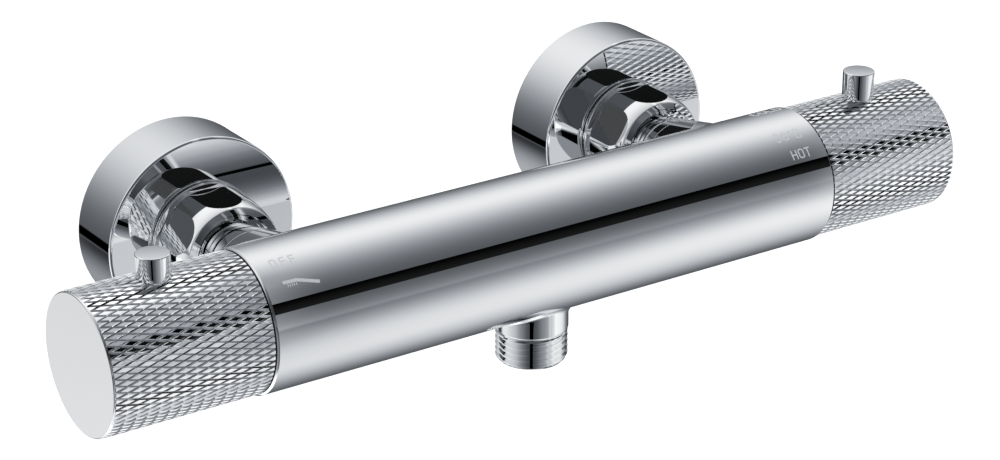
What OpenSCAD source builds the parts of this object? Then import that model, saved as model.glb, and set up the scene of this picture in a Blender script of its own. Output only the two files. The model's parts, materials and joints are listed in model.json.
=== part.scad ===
// Thermostatic bar shower valve: two wall inlets, a flow handle on the left end,
// a temperature handle on the right end and a hose outlet below.
// X runs along the bar, Y points into the wall and Z is up. The origin lies in
// the wall's surface, midway between the two inlets, at the height of the bar.

/* [Bar] */
// Outside diameter of the bar
bar_d = 41.2; // [40.6:0.1:46]
// Length of the bar beyond each inlet's centre
bar_end_l = 20; // [18:0.5:35]
// Chamfer on the edges of the bar's ends
bar_edge = 0.5; // [0.2:0.05:0.8]
// Distance from the wall to the bar's axis
bar_to_wall = 77; // [74:0.5:95]
// Metal between the bar's surface and the waterways beside it
bar_wall = 2.2; // [1.8:0.1:2.4]
// Diameter of the hot water's way and the outlet's way along the bar
way_d = 6.4; // [5:0.1:6.6]
// Diameter of the mixed water's way through the middle of the bar
mixed_d = 17; // [12:0.5:17.5]

/* [Inlets] */
// Distance between the two inlets
inlet_centres = 150; // [148:0.5:152]
// Diameter of an inlet boss where it leaves the bar
boss_root_d = 31; // [28:0.5:33]
// Diameter of an inlet boss at its end in the nut
boss_end_d = 19.6; // [19.2:0.1:20.4]
// Length of the boss that stands inside the nut's mouth
boss_in_nut = 0.4; // [0.2:0.1:0.8]
// Bore of an inlet
inlet_bore_d = 14; // [12:0.5:14.5]
// Diameter of the neck that the union nut turns on
neck_d = 18.8; // [18.4:0.1:19.2]
// Diameter of the collar that the union nut pulls on
collar_d = 24.6; // [23:0.1:25.4]
// Thickness of that collar
collar_t = 2.8; // [2:0.1:4]
// Length of the tailpiece's thread in the boss
tail_l = 9.4; // [7:0.1:11]
// Diameter of the tailpiece's thread
tail_d = 16.8; // [16.6:0.1:17]

/* [Union nuts] */
// Width of a union nut across its flats
nut_af = 30; // [29.6:0.1:31.4]
// How far each of the nut's corners is turned down
nut_corner_cut = 1.2; // [0.9:0.1:1.4]
// Diameter of the nut's front end
nut_nose_d = 29.4; // [28:0.1:29.5]
// Length of the tapered nose
nut_nose_l = 6.4; // [4:0.1:7]
// Diameter of the round rim at the nut's back
nut_rim_d = 33.4; // [33:0.1:36]
// Thickness of that rim
nut_rim_t = 1.2; // [0.9:0.1:3.5]
// Whole length of the nut
nut_l = 17.9; // [17:0.1:19]
// Thickness of the inward lip at the nut's front
nut_lip_t = 4.9; // [3.5:0.1:5.5]
// Diameter of the countersink in the nut's mouth
nut_sink_d = 25.2; // [22:0.1:26]
// Gap between the nut and the wall flange
nut_gap = 0.3; // [0.3:0.1:2]

/* [Wall unions] */
// Outside diameter of the three-quarter inch pipe thread
thread34_d = 26.44; // [26.2:0.01:26.6]
// Outside diameter of the half inch pipe thread
thread12_d = 20.96; // [20.7:0.01:21.1]
// Offset of the wall thread below the inlet
union_offset = 5; // [0:0.5:8]
// Length of the wall thread behind the wall's surface
wall_thread_l = 15; // [10:0.5:25]
// Bore of the union on the valve's side
union_bore_d = 16; // [14:0.5:18]
// Bore of the union on the wall's side
union_wall_bore_d = 14.5; // [12:0.5:16]
// Thickness of the sealing washer
washer_t = 2; // [1.5:0.1:3]
// Bore of the sealing washer
washer_bore_d = 13; // [12:0.5:13.5]

/* [Wall flanges] */
// Diameter of a wall flange
flange_d = 59.6; // [50:0.1:70]
// Depth of the flange's cup
flange_depth = 19.8; // [16:0.1:22]
// Thickness of the flange's sheet
flange_t = 1.2; // [0.8:0.1:2]
// Radius on the flange's front edge
flange_edge_r = 0.8; // [0.3:0.1:0.8]

/* [Outlet] */
// Length of the bar's collar below the bar
outlet_collar_l = 4.6; // [2.5:0.1:14]
// Length of the outlet's thread
outlet_thread_l = 10.3; // [8:0.1:11]
// Diameter of the bar's collar above that thread
outlet_collar_d = 21.4; // [21.2:0.1:23]
// Radius of the fillet between that collar and the bar
outlet_fillet_r = 2; // [1:0.1:2.2]
// Bore of the outlet
outlet_bore_d = 13; // [10:0.5:13.5]
// Diameter of the outlet's tail inside the bar
outlet_tail_d = 16.4; // [15.4:0.1:17]

/* [Handles] */
// Diameter over the knurl
handle_d = 40; // [39:0.1:40.4]
// Length of a handle, with its end cap
handle_l = 47.3; // [46:0.1:60]
// Diamonds of the knurl round a handle
knurl_n = 70; // [50:2:90]
// Half rows of diamonds along a handle
knurl_rows = 14; // [10:2:20]
// Depth of the grooves between the diamonds
knurl_depth = 0.36; // [0.2:0.02:0.5]
// Gap between the bar and a handle
seam = 0.5; // [0.4:0.05:0.8]
// Thickness of a handle's shell, with the knurl
shell_wall = 2.3; // [2:0.1:2.5]
// Thickness of the end cap's rim
cap_t = 0.6; // [0.5:0.1:2.5]
// How far the end cap's disc stands back from the knurl
cap_step = 0.25; // [0.2:0.05:1]
// Diameter of the lever pin and of the safety button
pin_d = 9.5; // [8:0.1:10]
// Distance from the bar's end to the pin and the button
pin_at = 25; // [23:0.5:27]
// Height of the lever pin above the bar's axis
lever_top = 26.5; // [24:0.1:40]
// Height of the safety button above the bar's axis
button_top = 28.1; // [26:0.1:34]
// Travel of the safety button
button_travel = 2; // [1:0.1:2]

/* [Hidden] */
$fn = 96;
// Overshoot of a cutting tool past the face that it cuts
past = 1;
// Clearance of a shaft or spool in its bore
run = 0.05;
// Clearance between pieces that are pushed or screwed together
fit = 0.05;
// Clearance between moving pieces that don't guide each other
clear = 0.3;

bar_r = bar_d / 2;
bar_l = inlet_centres + 2 * bar_end_l;
shell_bore_d = handle_d - 2 * shell_wall;
cap_d = handle_d - 2 * cap_step;
outlet_reach = bar_r + outlet_collar_l + outlet_thread_l;
nut_turned_d = nut_af / cos(30) - 2 * nut_corner_cut;
bar_end = bar_l / 2;
inlet_x = inlet_centres / 2;
way_r = way_d / 2;
hot_way_y = bar_r - bar_wall - way_r;
outlet_way_z = -(bar_r - bar_wall - way_r);

// Stations along an inlet, measured from the bar's axis towards the wall
flange_front = bar_to_wall - flange_depth;
nut_back = flange_front - nut_gap;
nut_front = nut_back - nut_l;
boss_end = nut_front + boss_in_nut;
lip_back = nut_front + nut_lip_t;
collar_back = lip_back + collar_t;
union_front = collar_back + washer_t;
union_step = flange_front + flange_t + 5.8;
union_step_l = 6.1;
boss_root = sqrt(pow(bar_r, 2) - pow(boss_root_d / 2, 2));
inlet_floor = hot_way_y - 1.7;

// Non-return valve in an inlet's tailpiece
check_d = inlet_bore_d - 2 * fit;
check_l = 12;
check_front = collar_back - check_l - 0.2;
check_stop_d = inlet_bore_d - 2;
check_wall = 1.5;
check_seat_t = 2;
check_seat_d = 7.6;
check_web_t = 1.5;
poppet_d = 9.2;
poppet_t = 2;
poppet_nose = 1;
poppet_stem_d = 2;

// Stations of the flow cartridge, measured outwards from the bar's end face
flow_bore_d = 21;
flow_floor = -33;
flow_throat_d = 11;
flow_throat_l = 14;
flow_seat_d = 28;
flow_seat_t = 2.5;
seal_t = 3;
disc_t = 3;
disc_gap = 0.05;
disc_port_d = 12.4;
disc_middle_d = 4;
disc_tab_l = 11;
fixed_disc_at = flow_floor + seal_t;
moving_disc_at = fixed_disc_at + disc_t + disc_gap;
driver_at = moving_disc_at + disc_t;
driver_t = 3.1;
cup_end = driver_at + driver_t + clear;
cup_d = 15.8;
skirt_d = 18.4;
skirt_at = fixed_disc_at - 0.5;
thread_at = -13;
hex_af = 20;
hex_end = 5;
nose_end = 8.5;
nose_d = 13;
flow_drop_at = cup_end - 3.6;

// Spindles and what sits on them
spindle_d = 8;
thermo_spindle_d = 10;
clip_t = 1;
clip_d = 12;
clip_groove_d = 6.4;
clip_at = nose_end + 0.3;
land_d = 7.9;
spline_d = 7.6;
spline_root_d = 6.6;
spline_teeth = 20;
spline_at = clip_at + clip_t + 0.6;
spline_end = 18.5;
screw_d = 4;
screw_head_d = 7.6;
screw_head_t = 2.4;

// Moulded insert that joins a handle to its spindle
insert_at = 1.2;
insert_web_at = spline_at + fit;
insert_web_t = 2.8;
insert_d = shell_bore_d - 2 * fit;
insert_rim_t = 3;
insert_hub_d = 15;
screw_seat = spline_end + 2.5;
hub_end = pin_at + 8;
screw_way_d = 9;
rib_t = 1.6;
rib_n = 6;
cap_spigot_l = 6.2;
cap_wall = 1.4;
cap_at = seam + handle_l - cap_t;
insert_end = cap_at - cap_spigot_l;
cap_spigot_d = shell_bore_d - 2 * fit;
lever_seat = insert_d / 2 - 1.1;
lever_stem_d = 5;
lever_stem_l = 6;
lever_boss_d = 12;

// Safety button, its latch and spring
button_flange_d = 11.6;
button_flange_t = 1.2;
button_flange_top = sqrt(pow(shell_bore_d / 2, 2) - pow(button_flange_d / 2, 2)) - 0.25;
latch_top = button_flange_top - button_flange_t;
latch_t = 1.7;
latch_w = 5;
latch_tip = 3;
latch_pad_d = 8;
tooth_t = 2.4;
tooth_l = 2;
tooth_foot = latch_top - latch_t - tooth_t;
pocket_d = 12.2;
pocket_floor = insert_hub_d / 2 + 0.4;
safety_spring_d = 7.2;
safety_wire = 0.6;

// Glide rings between the bar and the handles
glide_edge = 0.8;
glide_t = 1.8;
glide_land = 1;
glide_out_d = handle_d - 2 * glide_edge;
glide_in_d = glide_out_d - 2 * glide_t;
glide_depth = 1.2;

// Stations of the thermostatic cartridge, measured outwards from the bar's end face
thermo_bore_d = 29;
thermo_floor = -40;
thermo_nose_d = 19;
thermo_nose_end = -49;
thermo_seat_d = glide_in_d - 2 * glide_land;
thermo_seat_at = -9;
thermo_flange_t = 2.5;
key_notch_t = 3;
key_notch_w = 3;
key_notch_at = 13;
return_spring_d = 16.6;
return_wire = 1.2;
overtravel_spring_d = 11.4;
spool_d = 22;
spool_floor = -38;
hot_port = [-38, -35];
cold_port = [-26, -23.6];
port_w = 12;
hot_recess = [-38.6, -33.6];
cold_recess = [-28.4, -14.6];
recess_d = 26;
shuttle = [-35.5, -25.5];
shuttle_wall = 1.55;
web = [-31, -29];
wax_guide_d = 6;
wax_bulb_d = 9.2;
wax_flange_d = 11;
wax_bulb_end = -45;
piston_d = 3;
plate_at = -24.8;
plate_t = 1;
nut_floor = [-19.5, -16.5];
cage_d = 16.4;
cage_bore_d = 14;
cage_lip_t = 1;
cage_lip_d = 12;
key_w = 2.8;
key_reach = 11.9;
key_slot_at = -22;
head_plug_at = -14;
spindle_stop_d = 13;
spindle_stop_t = 1.1;
thread_spindle_d = 8;
thread_spindle_end = -20;
ring_wire = 1.6;
thermo_ring_at = [-44, -31, -12];
temperature_low = 12;
temperature_high = 46.5;

// Turned shape about X, from points of [radius, station]
module turned_x(points) {
    rotate([0, 90, 0]) rotate_extrude() polygon(points);
}

// Turned shape about Y, from points of [radius, station]
module turned_y(points) {
    rotate([-90, 0, 0]) rotate_extrude() polygon(points);
}

// Turned shape downwards about Z, from points of [radius, depth]
module turned_down(points) {
    rotate([180, 0, 0]) rotate_extrude() polygon(points);
}

// Straight round bar along X between two stations
module rod_x(d, from, to) {
    translate([from, 0, 0]) rotate([0, 90, 0]) cylinder(d = d, h = to - from);
}

// Straight round bar along Y between two stations
module rod_y(d, from, to) {
    translate([0, from, 0]) rotate([-90, 0, 0]) cylinder(d = d, h = to - from);
}

// Straight round bar along Z between two heights
module rod_z(d, from, to) {
    translate([0, 0, from]) cylinder(d = d, h = to - from);
}

// Hexagon bar along Y with a flat on top
module hex_y(af, from, to) {
    translate([0, from, 0]) rotate([-90, 0, 0]) rotate(30)
        cylinder(d = af / cos(30), h = to - from, $fn = 6);
}

// Ring of round section about X
module o_ring_x(mid_d, wire_d, station) {
    translate([station, 0, 0]) rotate([0, 90, 0]) rotate_extrude()
        translate([mid_d / 2, 0]) circle(d = wire_d);
}

// Toothed outline of a spline
function spline_points(outer_d, root_d) = [for (i = [0 : 4 * spline_teeth - 1])
    let (a = 90 * i / spline_teeth, r = (i % 4 < 2 ? outer_d : root_d) / 2) [r * cos(a), r * sin(a)]];

// Splined bar along X between two stations, wider by a clearance
module spline_x(from, to, more) {
    translate([from, 0, 0]) rotate([0, 90, 0]) linear_extrude(to - from)
        polygon(spline_points(spline_d + 2 * more, spline_root_d + 2 * more));
}

// Coil spring from height 0 up to height h, as one tube of triangles
module coil_spring(mid_d, wire_d, h, turns) {
    sides = 6;
    rings = 12 * turns;
    points = [for (i = [0 : rings], k = [0 : sides - 1])
        let (a = 360 * turns * i / rings, b = 360 * k / sides,
            r = mid_d / 2 + wire_d / 2 * cos(b),
            z = wire_d / 2 + (h - wire_d) * i / rings + wire_d / 2 * sin(b))
        [r * cos(a), r * sin(a), z]];
    skin = [for (i = [0 : rings - 1], k = [0 : sides - 1], half = [0, 1])
        let (m = (k + 1) % sides, a = i * sides, b = a + sides)
        half == 0 ? [a + k, a + m, b + m] : [a + k, b + m, b + k]];
    first = [for (k = [1 : sides - 2]) [0, k + 1, k]];
    last = [for (k = [1 : sides - 2]) [rings * sides, rings * sides + k, rings * sides + k + 1]];
    polyhedron(points, concat(skin, first, last));
}

module at_bar() {
    translate([0, -bar_to_wall, 0]) children();
}

// Places what is drawn about Y at one inlet: side -1 is hot, side 1 is cold
module at_inlet(side) {
    translate([side * inlet_x, -bar_to_wall, 0]) children();
}

// Places what is drawn outwards along X at the left end of the bar
module at_flow_end() {
    translate([-bar_end, -bar_to_wall, 0]) mirror([1, 0, 0]) children();
}

// Places what is drawn outwards along X at the right end of the bar
module at_thermo_end() {
    translate([bar_end, -bar_to_wall, 0]) children();
}

// Groove for the glide ring in the bar's end face
module glide_groove() {
    difference() {
        rod_x(glide_out_d + 2 * fit, -glide_depth - fit, past);
        rod_x(glide_in_d - 2 * fit, -glide_depth - past, 2 * past);
    }
}

// Fillet between the bar and its outlet collar, as a ball rolls along both:
// every section of the ring is the arc that the ball leaves, closed inside the metal
module outlet_fillet() {
    sections = 72;
    arc_steps = 6;
    sunk = 1;
    tail = 0.15;
    collar_r = outlet_collar_d / 2;
    ball = outlet_fillet_r;
    far = collar_r + ball;
    size = arc_steps + 4;
    function ball_centre(a) =
        [far * cos(a), far * sin(a), -sqrt(pow(bar_r + ball, 2) - pow(far * sin(a), 2))];
    function to_bar(c) = [0, -c[1], -c[2]] / (bar_r + ball);
    function arc_point(c, u, v, spread, t) =
        c + ball * (sin((1 - t) * spread) * u + sin(t * spread) * v) / sin(spread);
    function section(a) =
        let (c = ball_centre(a), u = [-cos(a), -sin(a), 0], v = to_bar(c), spread = acos(u * v),
            inner = collar_r - sunk)
        concat([[inner * cos(a), inner * sin(a), c[2]]],
            [for (i = [0 : arc_steps])
                arc_point(c, u, v, spread, tail + (1 - 2 * tail) * i / arc_steps)],
            [c + (ball + sunk) * v],
            [[inner * cos(a), inner * sin(a), -sqrt(pow(bar_r - sunk, 2) - pow(inner * sin(a), 2))]]);
    polyhedron(
        points = [for (k = [0 : sections - 1]) each section(360 * k / sections)],
        faces = [for (k = [0 : sections - 1], i = [0 : size - 1], half = [0, 1])
            let (m = (k + 1) % sections, j = (i + 1) % size)
            half == 0 ? [k * size + i, m * size + i, m * size + j]
                : [k * size + i, m * size + j, k * size + j]]);
}

// Outside of the cast bar with its two inlet bosses and its outlet collar
module casting_outside() {
    turned_x([[0, -bar_end], [bar_r - bar_edge, -bar_end], [bar_r, -bar_end + bar_edge],
        [bar_r, bar_end - bar_edge], [bar_r - bar_edge, bar_end], [0, bar_end]]);
    for (side = [-1, 1]) translate([side * inlet_x, 0, 0])
        turned_y([[0, 0], [boss_root_d / 2, 0], [boss_root_d / 2, boss_root],
            [boss_end_d / 2 + 0.3, boss_end - 0.3], [boss_end_d / 2, boss_end], [0, boss_end]]);
    rod_z(outlet_collar_d, -outlet_reach + outlet_thread_l, 0);
    outlet_fillet();
}

// Waterways of the bar between its two cartridges
module casting_waterways() {
    for (side = [-1, 1]) translate([side * inlet_x, 0, 0]) {
        rod_y(inlet_bore_d, inlet_floor, boss_end);
        rod_y(tail_d + 2 * fit, boss_end - tail_l, boss_end + past);
    }
    translate([0, hot_way_y, 0]) rod_x(way_d, -inlet_x, bar_end + hot_port[1]);
    rod_x(mixed_d, -bar_end - flow_floor + flow_throat_l, bar_end + thermo_nose_end + fit);
    translate([0, 0, outlet_way_z]) rod_x(way_d, -bar_end - flow_drop_at, way_r);
    translate([-bar_end - flow_drop_at, 0, 0]) rod_z(way_d - 0.4, outlet_way_z, -skirt_d / 2);
    rod_z(way_d + 2, -outlet_reach, outlet_way_z + 1);
    rod_z(outlet_tail_d + 2 * fit, -outlet_reach, outlet_way_z - 2);
}

module flow_cavity() {
    rod_x(flow_bore_d, flow_floor, past);
    rod_x(flow_throat_d, flow_floor - flow_throat_l - past, past);
    rod_x(flow_seat_d, -flow_seat_t, past);
    glide_groove();
}

module thermo_cavity() {
    rod_x(thermo_nose_d, thermo_nose_end, past);
    rod_x(thermo_bore_d, thermo_floor, past);
    rod_x(thermo_seat_d, thermo_seat_at, past);
    glide_groove();
}

module valve_body() {
    color("silver") difference() {
        at_bar() casting_outside();
        at_bar() casting_waterways();
        at_flow_end() flow_cavity();
        at_thermo_end() thermo_cavity();
    }
}

module outlet_spigot() {
    shoulder = outlet_reach - outlet_thread_l;
    tail_top = -outlet_way_z + 2 + fit;
    lead_in = 0.6;
    color("silver") at_bar() difference() {
        turned_down([[outlet_bore_d / 2, tail_top], [outlet_tail_d / 2, tail_top],
            [outlet_tail_d / 2, shoulder], [thread12_d / 2, shoulder],
            [thread12_d / 2, outlet_reach - lead_in], [thread12_d / 2 - lead_in, outlet_reach],
            [outlet_bore_d / 2, outlet_reach]]);
    }
}

module tailpiece(side) {
    tail_front = boss_end - tail_l + fit;
    color("goldenrod") at_inlet(side)
        turned_y([[check_stop_d / 2, tail_front], [tail_d / 2, tail_front],
            [tail_d / 2, boss_end], [neck_d / 2, boss_end], [neck_d / 2, lip_back],
            [collar_d / 2, lip_back], [collar_d / 2, collar_back],
            [inlet_bore_d / 2, collar_back], [inlet_bore_d / 2, check_front],
            [check_stop_d / 2, check_front]]);
}

module union_nut(side) {
    flats_back = nut_back - nut_rim_t;
    sink_t = 1.6;
    color("silver") at_inlet(side) difference() {
        union() {
            intersection() {
                hex_y(nut_af, nut_front, flats_back + fit);
                turned_y([[0, nut_front], [nut_nose_d / 2, nut_front],
                    [nut_turned_d / 2, nut_front + nut_nose_l],
                    [nut_turned_d / 2, flats_back - 1.6], [nut_af / 2 - 0.3, flats_back],
                    [nut_af / 2 - 0.3, flats_back + past], [0, flats_back + past]]);
            }
            turned_y([[0, flats_back], [nut_rim_d / 2 - 0.4, flats_back],
                [nut_rim_d / 2, flats_back + 0.4], [nut_rim_d / 2, nut_back - 0.4],
                [nut_rim_d / 2 - 0.4, nut_back], [0, nut_back]]);
        }
        turned_y([[0, nut_front - past], [nut_sink_d / 2 + past, nut_front - past],
            [nut_sink_d / 2, nut_front], [neck_d / 2 + fit * 2, nut_front + sink_t],
            [neck_d / 2 + fit * 2, lip_back], [thread34_d / 2 + fit, lip_back],
            [thread34_d / 2 + fit, nut_back + past], [0, nut_back + past]]);
    }
}

module washer(side) {
    color("dimgray") at_inlet(side)
        turned_y([[washer_bore_d / 2, collar_back], [collar_d / 2, collar_back],
            [collar_d / 2, union_front], [washer_bore_d / 2, union_front]]);
}

// Perforated steel cup that keeps grit out of the inlet
module filter(side) {
    sheet = 0.5;
    reach = 7;
    brim = washer_bore_d / 2 - fit;
    color("lightsteelblue") at_inlet(side) difference() {
        turned_y([[brim - sheet, collar_back + fit], [brim, collar_back + fit],
            [brim, union_front], [brim - 1, union_front + reach], [0, union_front + reach],
            [0, union_front + reach - sheet], [brim - 1 - sheet, union_front + reach - sheet],
            [brim - sheet, union_front]]);
        for (row = [1.6, 3.4, 5.2], a = [0 : 45 : 315])
            rotate([0, a, 0]) translate([0, union_front + row, 0]) rod_z(1, 3, washer_bore_d);
    }
}

module check_housing(side) {
    bore = check_d - 2 * check_wall;
    hub_d = 4.4;
    color("white") at_inlet(side) {
        difference() {
            rod_y(check_d, check_front, check_front + check_l);
            rod_y(bore, check_front - past, check_front + check_l - check_seat_t);
            rod_y(check_seat_d, check_front, check_front + check_l + past);
        }
        difference() {
            union() {
                rod_y(hub_d, check_front, check_front + check_web_t);
                for (a = [0, 120, 240]) rotate([0, a, 0])
                    translate([-0.6, check_front, 0]) cube([1.2, check_web_t, bore / 2 + 0.5]);
            }
            rod_y(poppet_stem_d + 4 * run, check_front - past, check_front + check_web_t + past);
        }
    }
}

module check_poppet(side) {
    seat = check_front + check_l - check_seat_t;
    face = seat - clear;
    color("royalblue") at_inlet(side)
        turned_y([[0, check_front - 1], [poppet_stem_d / 2, check_front - 1],
            [poppet_stem_d / 2, face - poppet_t], [poppet_d / 2, face - poppet_t],
            [poppet_d / 2, face], [check_seat_d / 2 - clear, face],
            [check_seat_d / 2 - 2 * clear, face + poppet_nose], [0, face + poppet_nose]]);
}

module check_spring(side) {
    spring_d = 5.2;
    wire = 0.6;
    from = check_front + check_web_t;
    to = check_front + check_l - check_seat_t - poppet_t - 2 * clear;
    color("lightgray") at_inlet(side) translate([0, from, 0]) rotate([-90, 0, 0])
        coil_spring(spring_d - wire, wire, to - from, 4);
}

module eccentric_union(side) {
    wall_end = bar_to_wall + wall_thread_l;
    shoulder = union_step + union_step_l;
    lead_in = 0.8;
    color("silver") at_inlet(side) difference() {
        union() {
            turned_y([[0, union_front], [thread34_d / 2 - lead_in, union_front],
                [thread34_d / 2, union_front + lead_in], [thread34_d / 2, union_step],
                [0, union_step]]);
            hull() {
                rod_y(thread34_d - 1, union_step - 1, union_step, $fn = 40);
                translate([0, 0, -union_offset])
                    rod_y(thread12_d + 2, shoulder - 1, shoulder, $fn = 40);
            }
            translate([0, 0, -union_offset])
                turned_y([[0, shoulder - 0.5], [thread12_d / 2, shoulder - 0.5],
                    [thread12_d / 2, wall_end - lead_in], [thread12_d / 2 - lead_in, wall_end],
                    [0, wall_end]]);
        }
        rod_y(union_bore_d, union_front - past, union_step + 1);
        translate([0, 0, -union_offset]) rod_y(union_wall_bore_d, union_step - 1, wall_end + past);
    }
}

// Deep round cup that hides the hole in the wall
module wall_flange(side) {
    r = flange_d / 2;
    edge = [for (a = [90 : -22.5 : 0])
        [r - flange_edge_r * (1 - cos(a)), flange_front + flange_edge_r * (1 - sin(a))]];
    color("silver") at_inlet(side)
        turned_y(concat([[thread34_d / 2 + 3 * fit, flange_front]], edge,
            [[r, bar_to_wall], [r - flange_t, bar_to_wall], [r - flange_t, flange_front + flange_t],
            [thread34_d / 2 + 3 * fit, flange_front + flange_t]]));
}

module flow_lip_seal() {
    color("black") at_flow_end() difference() {
        rod_x(cup_d - 4 * fit, flow_floor, fixed_disc_at);
        rod_x(flow_throat_d, flow_floor - past, fixed_disc_at + past);
    }
}

// Two opposite openings of a ceramic disc, each a sector
module disc_ports(from, to) {
    open = 70;
    reach = cup_d;
    for (a = [0, 180]) rotate([a, 0, 0]) translate([from, 0, 0]) rotate([0, 90, 0])
        linear_extrude(to - from) intersection() {
            difference() {
                circle(d = disc_port_d);
                circle(d = disc_middle_d);
            }
            polygon([[0, 0], [reach * cos(open / 2), reach * sin(open / 2)],
                [reach * cos(open / 2), -reach * sin(open / 2)]]);
        }
}

module flow_fixed_disc() {
    color("ghostwhite") at_flow_end() difference() {
        rod_x(cup_d - 4 * fit, fixed_disc_at, fixed_disc_at + disc_t);
        disc_ports(fixed_disc_at - past, fixed_disc_at + disc_t + past);
    }
}

// Slot and tab by which the spindle turns the upper disc
module disc_drive(more) {
    tab = [1.2, disc_tab_l, 3];
    translate([driver_at - tab[0] - more / 2, -tab[1] / 2 - more, -tab[2] / 2 - more])
        cube([tab[0] + more + (more > 0 ? past : fit), tab[1] + 2 * more, tab[2] + 2 * more]);
}

module flow_moving_disc() {
    color("ghostwhite") at_flow_end() difference() {
        rod_x(cup_d - 2 * clear, moving_disc_at, driver_at);
        rotate([90, 0, 0]) disc_ports(moving_disc_at - past, driver_at + past);
        rotate([45, 0, 0]) disc_drive(2 * fit);
    }
}

module flow_cartridge_housing() {
    slot = [moving_disc_at + 0.5, cup_end - 0.5];
    color("goldenrod") at_flow_end() difference() {
        union() {
            turned_x([[0, skirt_at], [skirt_d / 2, skirt_at], [skirt_d / 2, thread_at],
                [flow_bore_d / 2 - fit, thread_at], [flow_bore_d / 2 - fit, -flow_seat_t],
                [flow_seat_d / 2 - 0.1, -flow_seat_t], [flow_seat_d / 2 - 0.1, 0], [0, 0]]);
            rotate([90, 0, 0]) rotate([0, 90, 0]) cylinder(d = hex_af / cos(30), h = hex_end, $fn = 6);
            rod_x(nose_d, 0, nose_end);
        }
        rod_x(cup_d, skirt_at - past, cup_end);
        rod_x(spindle_d + 2 * run, skirt_at - past, nose_end + past);
        o_ring_x(flow_bore_d - 2.4, 2.6, thread_at + 2);
        for (a = [0, 90]) rotate([a, 0, 0])
            translate([slot[0], -4, -skirt_d]) cube([slot[1] - slot[0], 8, 2 * skirt_d]);
    }
}

module flow_cartridge_o_ring() {
    color("black") at_flow_end() o_ring_x(flow_bore_d - 2.4, 2.2, thread_at + 2);
}

// Turned blank of a spindle with its o-ring grooves, clip groove and screw hole
module spindle_blank(d, from, ring_stations) {
    difference() {
        union() {
            rod_x(d, from, clip_at);
            rod_x(clip_groove_d, clip_at - fit, spline_at - fit);
            rod_x(land_d, clip_at + clip_t + 0.1, spline_at);
            spline_x(spline_at - fit, spline_end, 0);
        }
        for (s = ring_stations) difference() {
            rod_x(d + past, s - 0.9, s + 0.9);
            rod_x(d - 3.2, s - 0.9 - past, s + 0.9 + past);
        }
        rod_x(screw_d + 2 * fit, spline_end - 8, spline_end + past);
    }
}

flow_ring_at = [-15, -9];
thermo_spindle_ring_at = [-8, -3];

module flow_spindle() {
    color("goldenrod") at_flow_end() {
        spindle_blank(spindle_d, driver_at + driver_t - fit, flow_ring_at);
        rod_x(cup_d - 2 * clear, driver_at, driver_at + driver_t);
        rotate([45, 0, 0]) disc_drive(0);
    }
}

module flow_spindle_o_rings() {
    color("black") at_flow_end() for (s = flow_ring_at) o_ring_x(spindle_d - 1.6, 1.55, s);
}

// Open spring clip that holds a spindle in its cartridge
module circlip() {
    difference() {
        rod_x(clip_d, clip_at, clip_at + clip_t - 0.05);
        rod_x(clip_groove_d + 2 * fit, clip_at - past, clip_at + clip_t + past);
        translate([clip_at - past, -1.5, -clip_d]) cube([clip_t + 2 * past, 3, clip_d]);
    }
}

module flow_circlip() {
    color("gray") at_flow_end() circlip();
}

module glide_ring() {
    difference() {
        rod_x(glide_out_d, -glide_depth, seam - 0.2);
        rod_x(glide_in_d, -glide_depth - past, seam + past);
    }
}

module flow_glide_ring() {
    color("black") at_flow_end() glide_ring();
}

// Moulded insert: rim, web, splined hub, ribs and a boss under the pin
module insert_blank(boss_d) {
    rim_in = insert_d - 2 * insert_rim_t;
    difference() {
        rod_x(insert_d, insert_at, insert_end);
        rod_x(rim_in, insert_at - past, insert_web_at);
        rod_x(rim_in, insert_web_at + insert_web_t, insert_end + past);
    }
    rod_x(insert_hub_d, insert_web_at, hub_end);
    for (i = [0 : rib_n - 1]) rotate([60 * i + 30, 0, 0])
        translate([insert_web_at + 1, -rib_t / 2, 0])
            cube([hub_end - insert_web_at - 2, rib_t, rim_in / 2 + 0.5]);
    intersection() {
        translate([pin_at, 0, 0]) rod_z(boss_d, 0, insert_d / 2);
        rod_x(insert_d - 1, insert_at, insert_end);
    }
}

// Bores of an insert for the spindle, its screw and the driver
module insert_bores() {
    spline_x(insert_at, spline_end + clear, fit);
    rod_x(screw_d + 4 * fit, spline_end, screw_seat + past);
    rod_x(screw_way_d, screw_seat, insert_end + past);
}

module flow_insert() {
    color("white") at_flow_end() difference() {
        insert_blank(lever_boss_d);
        insert_bores();
        translate([pin_at, 0, 0]) rod_z(pin_d + 0.6, lever_seat, insert_d);
        translate([pin_at, 0, 0])
            rod_z(lever_stem_d + 2 * fit, lever_seat - lever_stem_l - clear, insert_d);
    }
}

module handle_screw() {
    difference() {
        union() {
            rod_x(screw_d, spline_end - 7, screw_seat + fit);
            turned_x([[0, screw_seat], [screw_head_d / 2, screw_seat],
                [screw_head_d / 2, screw_seat + screw_head_t - 0.6],
                [screw_head_d / 2 - 0.8, screw_seat + screw_head_t], [0, screw_seat + screw_head_t]]);
        }
        for (a = [0, 90]) rotate([a, 0, 0])
            translate([screw_seat + 0.9, -0.5, -2.2]) cube([screw_head_t, 1, 4.4]);
    }
}

module flow_screw() {
    color("gray") at_flow_end() handle_screw();
}

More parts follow.
